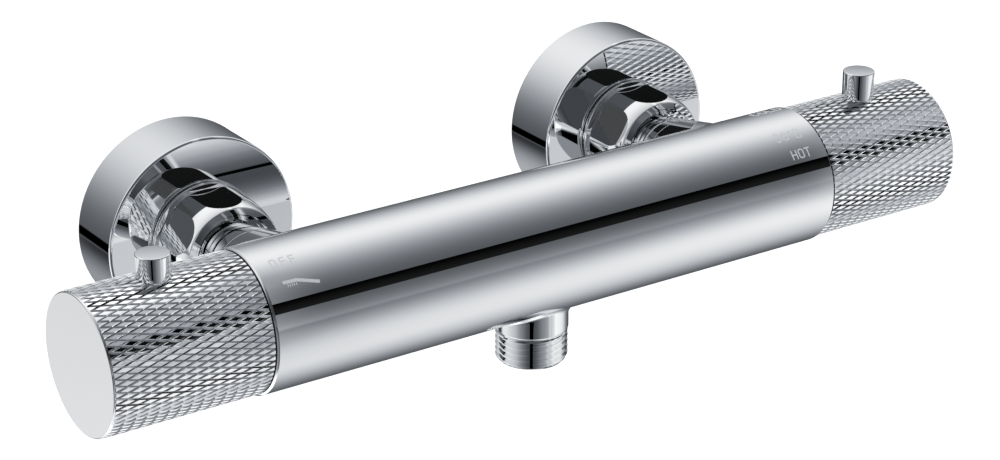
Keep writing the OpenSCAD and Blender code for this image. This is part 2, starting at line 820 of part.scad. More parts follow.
// Round bar along X whose skin is a diamond knurl. Each diamond is a low pyramid: its four
// corners are the crossings of the grooves, and every second row is turned by half a diamond.
module knurled_x(d, from, to) {
    n = knurl_n;
    rows = knurl_rows;
    turn = 360 / n;
    tip_r = d / 2;
    groove_r = (tip_r - knurl_depth) / cos(turn / 2);
    function point(row, r, a) = [from + (to - from) * row / rows, r * cos(a), r * sin(a)];
    function crossing(row, k) = row * n + (k + n) % n;
    function tip(row, k) = (rows + 1 + row) * n + (k + n) % n;
    function before(row, k) = crossing(row - 1, k + row % 2);
    function after(row, k) = crossing(row + 1, k + row % 2);
    polyhedron(
        points = concat(
            [for (row = [0 : rows], k = [0 : n - 1]) point(row, groove_r, turn * (k + row % 2 / 2))],
            [for (row = [0 : rows], k = [0 : n - 1])
                point(row, tip_r, turn * (k + row % 2 / 2 + 0.5))]),
        faces = concat(
            [for (row = [1 : rows], k = [0 : n - 1])
                [tip(row, k), crossing(row, k + 1), before(row, k)]],
            [for (row = [1 : rows], k = [0 : n - 1]) [tip(row, k), before(row, k), crossing(row, k)]],
            [for (row = [0 : rows - 1], k = [0 : n - 1]) [tip(row, k), crossing(row, k), after(row, k)]],
            [for (row = [0 : rows - 1], k = [0 : n - 1])
                [tip(row, k), after(row, k), crossing(row, k + 1)]],
            [[for (k = [0 : n - 1]) each [crossing(0, k), tip(0, k)]]],
            [[for (k = [n - 1 : -1 : 0]) each [tip(rows, k), crossing(rows, k)]]]));
}

// Knurled tube of a handle, with the hole for its pin or button
module handle_shell() {
    difference() {
        knurled_x(handle_d, seam, cap_at);
        rod_x(shell_bore_d, seam - past, cap_at + past);
        translate([pin_at, 0, 0]) rod_z(pin_d + 0.2, 0, handle_d);
    }
}

module flow_handle_shell() {
    color("silver") at_flow_end() handle_shell();
}

module flow_lever_pin() {
    edge = 0.3;
    color("silver") at_flow_end() translate([pin_at, 0, 0]) rotate_extrude()
        polygon([[0, lever_seat - lever_stem_l], [lever_stem_d / 2, lever_seat - lever_stem_l],
            [lever_stem_d / 2, lever_seat], [pin_d / 2, lever_seat],
            [pin_d / 2, lever_top - edge], [pin_d / 2 - edge, lever_top], [0, lever_top]]);
}

// Smooth disc that closes a handle, with its spigot inside the shell
module end_cap() {
    edge = 0.3;
    inside = cap_at + cap_t - cap_wall;
    turned_x([[0, inside], [cap_spigot_d / 2 - 2, inside],
        [cap_spigot_d / 2 - 2, insert_end], [cap_spigot_d / 2, insert_end],
        [cap_spigot_d / 2, cap_at], [cap_d / 2, cap_at], [cap_d / 2, cap_at + cap_t - edge],
        [cap_d / 2 - edge, cap_at + cap_t], [0, cap_at + cap_t]]);
}

module flow_end_cap() {
    color("gainsboro") at_flow_end() end_cap();
}

// Four windows around a cartridge, between two stations
module port_slots(stations) {
    for (a = [0, 90]) rotate([a, 0, 0])
        translate([stations[0], -port_w / 2, -thermo_bore_d])
            cube([stations[1] - stations[0], port_w, 2 * thermo_bore_d]);
}

// Recess that leads water all round a cartridge, between two stations
module recess(stations) {
    difference() {
        rod_x(thermo_bore_d + past, stations[0], stations[1]);
        rod_x(recess_d, stations[0] - past, stations[1] + past);
    }
}

// Groove for an o-ring on a turned part
module ring_groove(outer_d, station) {
    difference() {
        rod_x(outer_d + past, station - ring_wire / 2 - 0.1, station + ring_wire / 2 + 0.1);
        rod_x(outer_d - 2 * ring_wire, station - ring_wire, station + ring_wire);
    }
}

module thermo_housing() {
    main_d = thermo_bore_d - 2 * fit;
    tip_d = thermo_nose_d - 2 * fit;
    color("darkslategray") at_thermo_end() difference() {
        union() {
            rod_x(tip_d, thermo_nose_end + 0.5, thermo_floor + fit);
            rod_x(main_d, thermo_floor, thermo_seat_at);
        }
        rod_x(wax_bulb_d + 4, thermo_nose_end - past, spool_floor + past);
        rod_x(spool_d, spool_floor, thermo_seat_at + past);
        port_slots(hot_port);
        port_slots(cold_port);
        recess(hot_recess);
        recess(cold_recess);
        ring_groove(tip_d, thermo_ring_at[0]);
        ring_groove(main_d, thermo_ring_at[1]);
        ring_groove(main_d, thermo_ring_at[2]);
        translate([key_slot_at, -key_w / 2 - fit, -key_reach - 0.2])
            cube([thermo_seat_at + past - key_slot_at, key_w + 2 * fit, 2 * key_reach + 0.4]);
    }
}

module thermo_housing_o_rings() {
    color("black") at_thermo_end() {
        o_ring_x(thermo_nose_d - ring_wire - 2 * fit, ring_wire, thermo_ring_at[0]);
        o_ring_x(thermo_bore_d - ring_wire - 2 * fit, ring_wire, thermo_ring_at[1]);
        o_ring_x(thermo_bore_d - ring_wire - 2 * fit, ring_wire, thermo_ring_at[2]);
    }
}

module thermo_head() {
    flange_end = thermo_seat_at + thermo_flange_t;
    color("darkslategray") at_thermo_end() difference() {
        turned_x([[0, head_plug_at], [spool_d / 2 - fit, head_plug_at],
            [spool_d / 2 - fit, thermo_seat_at], [thermo_seat_d / 2 - 0.1, thermo_seat_at],
            [thermo_seat_d / 2 - 0.1, flange_end], [nose_d / 2 + 1, flange_end],
            [nose_d / 2 + 1, 0.6], [nose_d / 2, 0.6], [nose_d / 2, nose_end], [0, nose_end]]);
        rod_x(thermo_spindle_d + 2 * run, head_plug_at - past, nose_end + past);
    }
}

module thermo_retaining_nut() {
    from = thermo_seat_at + thermo_flange_t;
    color("goldenrod") at_thermo_end() difference() {
        rod_x(thermo_seat_d - 2 * fit, from, 0);
        rod_x(nose_d + 3, from - past, past);
        for (a = [0 : 60 : 300]) rotate([a, 0, 0])
            translate([-key_notch_t, -key_notch_w / 2, key_notch_at])
                cube([key_notch_t + past, key_notch_w, thermo_seat_d]);
    }
}

module thermo_shuttle() {
    outer_d = spool_d - 2 * run;
    color("gray") at_thermo_end() difference() {
        rod_x(outer_d, shuttle[0], shuttle[1]);
        rod_x(outer_d - 2 * shuttle_wall, shuttle[0] - past, web[0]);
        rod_x(outer_d - 2 * shuttle_wall, web[1], shuttle[1] + past);
        rod_x(wax_guide_d + 2 * fit, web[0] - past, web[1] + past);
        for (a = [0 : 45 : 315]) rotate([a, 0, 0])
            translate([0, 0, 7]) rod_x(2.6, web[0] - past, web[1] + past);
    }
}

module thermo_wax_element() {
    color("darkgoldenrod") at_thermo_end()
        turned_x([[0, wax_bulb_end], [wax_bulb_d / 2 - 1, wax_bulb_end],
            [wax_bulb_d / 2, wax_bulb_end + 1], [wax_bulb_d / 2, web[0] - 1.5],
            [wax_flange_d / 2, web[0] - 1.5], [wax_flange_d / 2, web[0]],
            [wax_guide_d / 2, web[0]], [wax_guide_d / 2, web[1] + 1],
            [piston_d / 2, web[1] + 1], [piston_d / 2, plate_at], [0, plate_at]]);
}

module thermo_return_spring() {
    color("lightgray") at_thermo_end() translate([spool_floor, 0, 0]) rotate([0, 90, 0])
        coil_spring(return_spring_d, return_wire, web[0] - clear - spool_floor, 3);
}

module thermo_adjusting_nut() {
    color("goldenrod") at_thermo_end() difference() {
        union() {
            rod_x(cage_d, plate_at - cage_lip_t, nut_floor[1]);
            translate([nut_floor[0], -key_w / 2, -key_reach])
                cube([nut_floor[1] - nut_floor[0], key_w, 2 * key_reach]);
        }
        rod_x(cage_lip_d, plate_at - cage_lip_t - past, plate_at + past);
        rod_x(cage_bore_d, plate_at, nut_floor[0]);
        rod_x(thread_spindle_d + 2 * run, nut_floor[0] - past, nut_floor[1] + past);
    }
}

module thermo_overtravel_spring() {
    wire = 1;
    from = plate_at + plate_t;
    color("lightgray") at_thermo_end() translate([from, 0, 0]) rotate([0, 90, 0])
        coil_spring(overtravel_spring_d, wire, nut_floor[0] - from, 2.5);
}

module thermo_overtravel_plate() {
    color("gray") at_thermo_end() rod_x(cage_bore_d - 4 * fit, plate_at, plate_at + plate_t);
}

module thermo_spindle() {
    stop = head_plug_at - clear;
    color("goldenrod") at_thermo_end() {
        spindle_blank(thermo_spindle_d, stop, thermo_spindle_ring_at);
        rod_x(spindle_stop_d, stop - spindle_stop_t, stop + fit);
        rod_x(thread_spindle_d, thread_spindle_end, stop);
    }
}

module thermo_spindle_o_rings() {
    color("black") at_thermo_end()
        for (s = thermo_spindle_ring_at) o_ring_x(thermo_spindle_d - 1.6, 1.55, s);
}

module thermo_circlip() {
    color("gray") at_thermo_end() circlip();
}

// Ring with the two end stops that the latch's tooth runs between
module thermo_stop_ring() {
    ring_t = 3.6;
    from = 0.8;
    track_d = 16;
    wall_d = 25;
    foot = tooth_foot - button_travel;
    margin = atan(latch_w / 2 / foot) + asin(clear / norm([latch_w / 2, foot]));
    low = -temperature_low - margin;
    high = temperature_high + margin;
    color("white") at_thermo_end() difference() {
        rod_x(wall_d, from, from + ring_t);
        rod_x(nose_d + 2 * fit, from - past, from + ring_t + past);
        difference() {
            translate([from - past, 0, 0]) rotate([0, 90, 0]) linear_extrude(ring_t + 2 * past)
                polygon(concat([[0, 0]], [for (i = [0 : 6])
                    let (a = low + (high - low) * i / 6) [-wall_d * cos(a), -wall_d * sin(a)]]));
            rod_x(track_d, from - 2 * past, from + ring_t + 2 * past);
        }
    }
}

module temperature_glide_ring() {
    color("black") at_thermo_end() glide_ring();
}

module temperature_insert() {
    slot_floor = latch_top - latch_t - button_travel - clear;
    color("white") at_thermo_end() difference() {
        insert_blank(pocket_d + 3);
        insert_bores();
        translate([pin_at, 0, 0]) rod_z(pocket_d, pocket_floor, insert_d);
        translate([0, -latch_w / 2 - clear, slot_floor])
            cube([pin_at, latch_w + 2 * clear, latch_top + 0.5 - slot_floor]);
    }
}

module temperature_screw() {
    color("gray") at_thermo_end() handle_screw();
}

module temperature_handle_shell() {
    color("silver") at_thermo_end() handle_shell();
}

module safety_button() {
    edge = 0.3;
    color("silver") at_thermo_end() translate([pin_at, 0, 0]) rotate_extrude()
        polygon([[0, latch_top], [button_flange_d / 2, latch_top],
            [button_flange_d / 2, button_flange_top], [pin_d / 2, button_flange_top],
            [pin_d / 2, button_top - edge], [pin_d / 2 - edge, button_top], [0, button_top]]);
}

// Arm under the button, with the tooth that meets the stop ring
module safety_latch() {
    color("firebrick") at_thermo_end() {
        translate([latch_tip, -latch_w / 2, latch_top - latch_t])
            cube([pin_at - latch_tip, latch_w, latch_t]);
        translate([pin_at, 0, 0]) rod_z(latch_pad_d, latch_top - latch_t, latch_top);
        translate([latch_tip, -latch_w / 2, latch_top - latch_t - tooth_t])
            cube([tooth_l, latch_w, tooth_t + fit]);
    }
}

module safety_spring() {
    top = latch_top - latch_t;
    color("lightgray") at_thermo_end() translate([pin_at, 0, pocket_floor])
        coil_spring(safety_spring_d - safety_wire, safety_wire, top - clear - pocket_floor, 2.5);
}

module temperature_end_cap() {
    color("gainsboro") at_thermo_end() end_cap();
}

valve_body();
outlet_spigot();
tailpiece(-1);  // hot_tailpiece
tailpiece(1);  // cold_tailpiece
union_nut(-1);  // hot_union_nut
union_nut(1);  // cold_union_nut
washer(-1);  // hot_washer
washer(1);  // cold_washer
filter(-1);  // hot_filter
filter(1);  // cold_filter
check_housing(-1);  // hot_check_housing
check_housing(1);  // cold_check_housing
check_poppet(-1);  // hot_check_poppet
check_poppet(1);  // cold_check_poppet
check_spring(-1);  // hot_check_spring
check_spring(1);  // cold_check_spring
eccentric_union(-1);  // hot_eccentric_union
eccentric_union(1);  // cold_eccentric_union
wall_flange(-1);  // hot_wall_flange
wall_flange(1);  // cold_wall_flange
flow_lip_seal();
flow_fixed_disc();
flow_moving_disc();
flow_cartridge_housing();
flow_cartridge_o_ring();
flow_spindle();
flow_spindle_o_rings();
flow_circlip();
flow_glide_ring();
flow_insert();
flow_screw();
flow_handle_shell();
flow_lever_pin();
flow_end_cap();
thermo_housing();
thermo_housing_o_rings();
thermo_head();
thermo_retaining_nut();
thermo_shuttle();
thermo_wax_element();
thermo_return_spring();
thermo_adjusting_nut();
thermo_overtravel_spring();
thermo_overtravel_plate();
thermo_spindle();
thermo_spindle_o_rings();
thermo_circlip();
thermo_stop_ring();
temperature_glide_ring();
temperature_insert();
temperature_screw();
temperature_handle_shell();
safety_button();
safety_latch();
safety_spring();
temperature_end_cap();
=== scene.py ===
import json
import math

import bmesh
import bpy
from mathutils import Matrix, Vector

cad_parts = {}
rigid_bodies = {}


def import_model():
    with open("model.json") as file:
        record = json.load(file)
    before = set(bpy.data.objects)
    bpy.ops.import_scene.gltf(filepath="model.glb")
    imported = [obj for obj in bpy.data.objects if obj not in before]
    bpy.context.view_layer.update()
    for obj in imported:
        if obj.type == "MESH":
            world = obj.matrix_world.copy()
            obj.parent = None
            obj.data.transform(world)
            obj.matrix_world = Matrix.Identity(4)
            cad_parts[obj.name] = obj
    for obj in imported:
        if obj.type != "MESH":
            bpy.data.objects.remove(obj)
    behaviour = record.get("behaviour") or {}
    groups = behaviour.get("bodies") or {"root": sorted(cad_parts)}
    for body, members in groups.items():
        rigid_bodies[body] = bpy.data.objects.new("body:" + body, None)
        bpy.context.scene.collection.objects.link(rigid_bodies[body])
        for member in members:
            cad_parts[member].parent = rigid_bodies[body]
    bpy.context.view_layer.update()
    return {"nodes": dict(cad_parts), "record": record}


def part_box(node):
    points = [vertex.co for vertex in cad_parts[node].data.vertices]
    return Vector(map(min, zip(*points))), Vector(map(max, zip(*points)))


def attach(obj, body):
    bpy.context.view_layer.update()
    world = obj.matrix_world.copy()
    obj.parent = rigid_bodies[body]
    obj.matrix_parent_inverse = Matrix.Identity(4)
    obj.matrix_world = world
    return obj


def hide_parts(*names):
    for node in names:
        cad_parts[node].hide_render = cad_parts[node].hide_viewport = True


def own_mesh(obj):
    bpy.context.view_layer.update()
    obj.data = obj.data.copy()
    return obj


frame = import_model()

bl_info = {
    "name": "Thermostatic shower valve",
    "version": (1, 0, 0),
    "blender": (4, 5, 0),
    "location": "View3D > Sidebar > Shower valve",
    "description": "Builds the chromed pieces, finishes and studio of a wall-mounted shower valve",
    "category": "Object",
}

MM = 0.001
# Radius below which a turned ring is a single point
ON_AXIS = 1e-9
# Sign of x and name of the hot and of the cold side
SIDES = ((-1, "hot"), (1, "cold"))
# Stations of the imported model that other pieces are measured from
BAR_Y = sum(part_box("thermo_spindle")[i][1] for i in (0, 1)) / 2
BAR_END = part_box("valve_body")[1][0]
BAR_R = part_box("valve_body")[1][2]
WALL_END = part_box("hot_eccentric_union")[1][1]
NUT_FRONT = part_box("hot_union_nut")[0][1]
NUT_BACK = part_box("hot_union_nut")[1][1]
FLANGE_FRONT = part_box("hot_wall_flange")[0][1]
FLANGE_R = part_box("hot_wall_flange")[1][2]
UNION_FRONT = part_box("hot_eccentric_union")[0][1]
OUTLET_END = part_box("outlet_spigot")[0][2]
THREAD_LENGTH = 10.3 * MM
SHELL_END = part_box("temperature_handle_shell")[1][0]
SHELL_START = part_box("temperature_handle_shell")[0][0]
HANDLE_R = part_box("temperature_handle_shell")[1][1] - BAR_Y
CAP_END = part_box("temperature_end_cap")[1][0]
CAP_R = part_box("temperature_end_cap")[1][2]
LEVER_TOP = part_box("flow_lever_pin")[1][2]
BUTTON_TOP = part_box("safety_button")[1][2]


# ---------------------------------------------------------------- sizes and colours

def length_size(name, description, default):
    """A length that the panel shows in the scene's units."""
    return bpy.props.FloatProperty(name=name, description=description, default=default,
                                   unit="LENGTH")


def colour_choice(name, description, default):
    """A colour that the panel shows as a swatch."""
    return bpy.props.FloatVectorProperty(name=name, description=description, subtype="COLOR",
                                         size=3, default=default)


class ValveSizes(bpy.types.PropertyGroup):
    segments: bpy.props.IntProperty(
        name="Segments", description="Facets round the bar and the turned pieces",
        default=240, min=48, max=512)
    inlet_spacing: length_size(
        "Inlet spacing", "Distance between the two inlets", 150 * MM)
    boss_root: length_size(
        "Boss root", "Radius of an inlet boss where it leaves the bar", 15.5 * MM)
    boss_tip: length_size(
        "Boss tip", "Radius of an inlet boss inside the nut's mouth", 9.8 * MM)
    collar_radius: length_size(
        "Outlet collar", "Radius of the bar's collar above the hose thread", 10.7 * MM)
    outlet_fillet: length_size(
        "Outlet fillet", "Radius of the fillet between the bar and its collar", 2 * MM)
    bar_chamfer: length_size(
        "Bar chamfer", "Chamfer on the edges of the bar's ends", 0.5 * MM)
    nut_flats: length_size(
        "Nut flats", "Width of a union nut across its flats", 30 * MM)
    pin_radius: length_size(
        "Pin radius", "Radius of the lever pin and of the safety button", 4.75 * MM)
    pin_from_seam: length_size(
        "Pin place", "Distance from the bar's end to the pin and the button", 25 * MM)
    marking_width: length_size(
        "Marking line", "Width of the lines of the markings", 0.42 * MM)


class KnurlSizes(bpy.types.PropertyGroup):
    round_count: bpy.props.IntProperty(
        name="Diamonds round", description="Diamonds round a handle", default=70, min=12, max=160)
    row_count: bpy.props.IntProperty(
        name="Half rows", description="Half diamonds along a handle, an even number",
        default=14, min=2, max=60)
    pad_share: bpy.props.FloatProperty(
        name="Flat share", description="Share of a diamond that its flat top takes",
        default=0.6, min=0.2, max=0.9, subtype="FACTOR")
    depth: length_size("Groove depth", "Depth of the grooves between the diamonds", 0.36 * MM)


class ThreadSizes(bpy.types.PropertyGroup):
    pitch: length_size("Pitch", "Pitch of the pipe threads, 14 to the inch", 1.814 * MM)
    depth: length_size("Depth", "Depth of the pipe threads", 1.16 * MM)


class FinishColours(bpy.types.PropertyGroup):
    chrome: colour_choice("Chrome", "Reflected colour of the chrome plate", (0.82, 0.83, 0.84))
    brass: colour_choice("Brass", "Colour of the machined brass", (0.78, 0.62, 0.33))
    marking: colour_choice("Marking", "Colour of the etched markings", (0.86, 0.88, 0.89))
    floor: colour_choice("Floor", "Colour of the studio floor", (0.86, 0.86, 0.86))


# ---------------------------------------------------------------- mesh helpers

def new_piece(name, verts, faces):
    """Makes a mesh object from points and faces, with its faces outwards."""
    mesh = bpy.data.meshes.new(name)
    mesh.from_pydata([tuple(v) for v in verts], [], faces)
    piece = bpy.data.objects.new(name, mesh)
    bpy.context.scene.collection.objects.link(piece)
    set_outwards(piece)
    return piece


def set_outwards(piece, merge=1e-7):
    """Merges doubled points and turns every face outwards."""
    work = bmesh.new()
    work.from_mesh(piece.data)
    bmesh.ops.remove_doubles(work, verts=work.verts, dist=merge)
    bmesh.ops.dissolve_degenerate(work, edges=work.edges, dist=merge)
    bmesh.ops.recalc_face_normals(work, faces=work.faces)
    work.to_mesh(piece.data)
    work.free()


def rounded(points, radii, steps=5):
    """Replaces the corners of an open profile by arcs; radii gives one radius a point."""
    result = []
    last = len(points) - 1
    for i, (point, radius) in enumerate(zip(points, radii)):
        here = Vector(point)
        if radius <= 0 or i in (0, last):
            result.append(tuple(here))
            continue
        before = (Vector(points[i - 1]) - here).normalized()
        after = (Vector(points[i + 1]) - here).normalized()
        half = before.angle(after) / 2
        reach = radius / math.tan(half)
        middle = here + (before + after).normalized() * (radius / math.sin(half))
        start = here + before * reach - middle
        turn = math.pi - 2 * half
        side = 1 if before.x * after.y - before.y * after.x < 0 else -1
        for k in range(steps + 1):
            a = side * turn * k / steps
            result.append((middle.x + start.x * math.cos(a) - start.y * math.sin(a),
                           middle.y + start.x * math.sin(a) + start.y * math.cos(a)))
    return result


def place_on_axis(axis, radius, station, angle, centre):
    """Point at a radius and angle round an axis that runs through centre."""
    u = radius * math.cos(angle)
    v = radius * math.sin(angle)
    if axis == "X":
        return (station, centre[1] + u, centre[2] + v)
    if axis == "Y":
        return (centre[0] + u, station, centre[2] + v)
    return (centre[0] + u, centre[1] + v, station)


def turned(name, profile, axis, centre, segments, closed=False):
    """Turns a profile of (radius, station) round an axis into a closed piece."""
    verts = []
    rings = []
    for radius, station in profile:
        if radius < ON_AXIS:
            rings.append([len(verts)] * segments)
            verts.append(place_on_axis(axis, 0, station, 0, centre))
            continue
        rings.append(list(range(len(verts), len(verts) + segments)))
        verts += [place_on_axis(axis, radius, station, math.tau * k / segments, centre)
                  for k in range(segments)]
    pairs = list(zip(rings, rings[1:]))
    if closed:
        pairs.append((rings[-1], rings[0]))
    faces = []
    for low, high in pairs:
        for k in range(segments):
            m = (k + 1) % segments
            corners = []
            for c in (low[k], low[m], high[m], high[k]):
                if c not in corners:
                    corners.append(c)
            if len(corners) > 2:
                faces.append(corners)
    return new_piece(name, verts, faces)


def apply_modifiers(piece):
    """Turns a piece with modifiers into a plain mesh."""
    view = bpy.context.evaluated_depsgraph_get()
    view.update()
    mesh = bpy.data.meshes.new_from_object(piece.evaluated_get(view))
    piece.modifiers.clear()
    piece.data = mesh
    return piece


def combine(piece, other, operation):
    """Joins, cuts or crosses a piece with another, which is used up."""
    step = piece.modifiers.new("Combine", "BOOLEAN")
    step.operation = operation
    step.solver = "EXACT"
    step.object = other
    apply_modifiers(piece)
    bpy.data.objects.remove(other)
    if not piece.data.polygons:
        raise RuntimeError("nothing is left of " + piece.name)
    return piece


def polish(piece, angle=32):
    """Shades a piece smoothly between edges sharper than the angle."""
    piece.data.shade_smooth()
    piece.data.set_sharp_from_angle(angle=math.radians(angle))
    even = piece.modifiers.new("Even", "WEIGHTED_NORMAL")
    even.mode = "FACE_AREA"
    even.weight = 60
    even.keep_sharp = True
    return apply_modifiers(piece)


def even_turned(piece, centre, chosen):
    """Gives the chosen faces the normals of a shape turned about Y, whatever the cuts left."""
    mesh = piece.data
    normals = [corner.vector.copy() for corner in mesh.corner_normals]
    for face in mesh.polygons:
        out = Vector((face.center.x - centre[0], 0, face.center.z - centre[2]))
        if not chosen(face, out.length):
            continue
        share = face.normal.dot(out.normalized())
        for corner in face.loop_indices:
            place = mesh.vertices[mesh.loops[corner].vertex_index].co
            away = Vector((place.x - centre[0], 0, place.z - centre[2])).normalized()
            normals[corner] = (away * share + Vector((0, face.normal.y, 0))).normalized()
    mesh.normals_split_custom_set(normals)


def joined(pieces, name):
    """Puts several pieces into one mesh."""
    work = bmesh.new()
    for piece in pieces:
        work.from_mesh(piece.data)
    mesh = bpy.data.meshes.new(name)
    work.to_mesh(mesh)
    work.free()
    for piece in pieces:
        bpy.data.objects.remove(piece)
    result = bpy.data.objects.new(name, mesh)
    bpy.context.scene.collection.objects.link(result)
    return result


def finish_piece(piece, finish, body, replaced=()):
    """Gives a piece its finish and tells the frame where it belongs."""
    piece.data.materials.clear()
    piece.data.materials.append(bpy.data.materials[finish])
    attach(piece, body)
    if replaced:
        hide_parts(*replaced)
    return piece


# ---------------------------------------------------------------- shader node groups

def group_sockets(tree, takes, gives):
    for name, kind, value in takes:
        socket = tree.interface.new_socket(name=name, in_out="INPUT", socket_type=kind)
        if value is not None:
            socket.default_value = value
    for name, kind in gives:
        tree.interface.new_socket(name=name, in_out="OUTPUT", socket_type=kind)
    return tree.nodes.new("NodeGroupInput"), tree.nodes.new("NodeGroupOutput")


def calculate(tree, operation, first, second=None, third=None):
    """Adds a Math node; numbers are set and sockets are linked."""
    node = tree.nodes.new("ShaderNodeMath")
    node.operation = operation
    for i, value in enumerate((first, second, third)):
        if value is None:
            continue
        if isinstance(value, (int, float)):
            node.inputs[i].default_value = value
        else:
            tree.links.new(value, node.inputs[i])
    return node.outputs[0]


def make_haze_group():
    """Faint, uneven haze of a surface that has been handled and wiped."""
    tree = bpy.data.node_groups.new("Wiped haze", "ShaderNodeTree")
    take, give = group_sockets(
        tree,
        [("Vector", "NodeSocketVector", None), ("Patch scale", "NodeSocketFloat", 40.0),
         ("Low", "NodeSocketFloat", 0.03), ("High", "NodeSocketFloat", 0.06)],
        [("Roughness", "NodeSocketFloat"), ("Mask", "NodeSocketFloat")])
    noise = tree.nodes.new("ShaderNodeTexNoise")
    noise.inputs["Detail"].default_value = 4
    tree.links.new(take.outputs["Vector"], noise.inputs["Vector"])
    tree.links.new(take.outputs["Patch scale"], noise.inputs["Scale"])
    spread = tree.nodes.new("ShaderNodeMapRange")
    spread.inputs["From Min"].default_value = 0.35
    spread.inputs["From Max"].default_value = 0.7
    tree.links.new(noise.outputs["Fac"], spread.inputs["Value"])
    tree.links.new(take.outputs["Low"], spread.inputs["To Min"])
    tree.links.new(take.outputs["High"], spread.inputs["To Max"])
    tree.links.new(spread.outputs["Result"], give.inputs["Roughness"])
    tree.links.new(noise.outputs["Fac"], give.inputs["Mask"])


def make_tool_mark_group():
    """Fine rings that a lathe tool leaves round the bar's own axis."""
    tree = bpy.data.node_groups.new("Lathe marks", "ShaderNodeTree")
    take, give = group_sockets(
        tree,
        [("Vector", "NodeSocketVector", None), ("Rings", "NodeSocketFloat", 900.0)],
        [("Height", "NodeSocketFloat"), ("Mask", "NodeSocketFloat")])
    parts = tree.nodes.new("ShaderNodeSeparateXYZ")
    tree.links.new(take.outputs["Vector"], parts.inputs[0])
    waves = calculate(tree, "SINE", calculate(tree, "MULTIPLY", parts.outputs["X"],
                                              take.outputs["Rings"]))
    noise = tree.nodes.new("ShaderNodeTexNoise")
    noise.inputs["Scale"].default_value = 350
    tree.links.new(take.outputs["Vector"], noise.inputs["Vector"])
    height = calculate(tree, "MULTIPLY", waves, noise.outputs["Fac"])
    tree.links.new(height, give.inputs["Height"])
    tree.links.new(noise.outputs["Fac"], give.inputs["Mask"])


def make_grain_group():
    """Fine grain of moulded plastic, rubber and fired ceramic."""
    tree = bpy.data.node_groups.new("Moulded grain", "ShaderNodeTree")
    take, give = group_sockets(
        tree,
        [("Vector", "NodeSocketVector", None), ("Grain", "NodeSocketFloat", 2500.0),
         ("Clouding", "NodeSocketFloat", 120.0)],
        [("Height", "NodeSocketFloat"), ("Mask", "NodeSocketFloat")])
    fine = tree.nodes.new("ShaderNodeTexNoise")
    fine.inputs["Detail"].default_value = 2
    tree.links.new(take.outputs["Vector"], fine.inputs["Vector"])
    tree.links.new(take.outputs["Grain"], fine.inputs["Scale"])
    cloud = tree.nodes.new("ShaderNodeTexNoise")
    tree.links.new(take.outputs["Vector"], cloud.inputs["Vector"])
    tree.links.new(take.outputs["Clouding"], cloud.inputs["Scale"])
    tree.links.new(fine.outputs["Fac"], give.inputs["Height"])
    tree.links.new(cloud.outputs["Fac"], give.inputs["Mask"])


# ---------------------------------------------------------------- finishes

def start_finish(name, colour, metallic):
    """A material with its shader and object coordinates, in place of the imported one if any."""
    finish = bpy.data.materials.get(name) or bpy.data.materials.new(name)
    finish.use_nodes = True
    tree = finish.node_tree
    tree.nodes.clear()
    shader = tree.nodes.new("ShaderNodeBsdfPrincipled")
    out = tree.nodes.new("ShaderNodeOutputMaterial")
    tree.links.new(shader.outputs[0], out.inputs["Surface"])
    shader.inputs["Base Color"].default_value = (*colour, 1)
    shader.inputs["Metallic"].default_value = metallic
    coordinates = tree.nodes.new("ShaderNodeTexCoord")
    return tree, shader, coordinates.outputs["Object"]


def add_group(tree, group, where, **values):
    node = tree.nodes.new("ShaderNodeGroup")
    node.node_tree = bpy.data.node_groups[group]
    tree.links.new(where, node.inputs["Vector"])
    for name, value in values.items():
        node.inputs[name.replace("_", " ")].default_value = value
    return node


def add_bump(tree, shader, height, strength, distance):
    bump = tree.nodes.new("ShaderNodeBump")
    bump.inputs["Strength"].default_value = strength
    bump.inputs["Distance"].default_value = distance
    tree.links.new(height, bump.inputs["Height"])
    tree.links.new(bump.outputs["Normal"], shader.inputs["Normal"])


def vary_colour(tree, shader, mask, dark, light):
    """Base colour that wanders a little between two tones."""
    mix = tree.nodes.new("ShaderNodeMix")
    mix.data_type = "RGBA"
    mix.inputs["A"].default_value = (*dark, 1)
    mix.inputs["B"].default_value = (*light, 1)
    tree.links.new(mask, mix.inputs["Factor"])
    tree.links.new(mix.outputs["Result"], shader.inputs["Base Color"])


def shaded(colour, factor):
    return tuple(min(c * factor, 1) for c in colour)


def make_chrome(name, colour, low, high):
    tree, shader, where = start_finish(name, colour, 1)
    haze = add_group(tree, "Wiped haze", where, Patch_scale=55.0, Low=low, High=high)
    tree.links.new(haze.outputs["Roughness"], shader.inputs["Roughness"])
    vary_colour(tree, shader, haze.outputs["Mask"], shaded(colour, 0.985), shaded(colour, 1.01))


def make_turned_metal(name, colour, rings, low, high):
    tree, shader, where = start_finish(name, colour, 1)
    haze = add_group(tree, "Wiped haze", where, Patch_scale=90.0, Low=low, High=high)
    tree.links.new(haze.outputs["Roughness"], shader.inputs["Roughness"])
    marks = add_group(tree, "Lathe marks", where, Rings=rings)
    add_bump(tree, shader, marks.outputs["Height"], 0.25, 0.00002)
    vary_colour(tree, shader, haze.outputs["Mask"], shaded(colour, 0.86), shaded(colour, 1.06))


def make_moulded(name, colour, roughness, grain, strength):
    tree, shader, where = start_finish(name, colour, 0)
    skin = add_group(tree, "Moulded grain", where, Grain=grain, Clouding=110.0)
    add_bump(tree, shader, skin.outputs["Height"], strength, 0.00003)
    vary_colour(tree, shader, skin.outputs["Mask"], shaded(colour, 0.9), shaded(colour, 1.06))
    spread = tree.nodes.new("ShaderNodeMapRange")
    spread.inputs["To Min"].default_value = roughness - 0.06
    spread.inputs["To Max"].default_value = roughness + 0.06
    tree.links.new(skin.outputs["Mask"], spread.inputs["Value"])
    tree.links.new(spread.outputs["Result"], shader.inputs["Roughness"])


# Roughness of the chrome plate where it is clean and where it is wiped
CHROME_HAZE = (0.003, 0.012)
# How much brighter the knurl's chrome is painted than the bar's: a painted highlight that stands in
# for the whiter reflections of the knurl's flat diamonds
KNURL_PAINTED_HIGHLIGHT = 1.16
STEEL = (0.62, 0.63, 0.64)
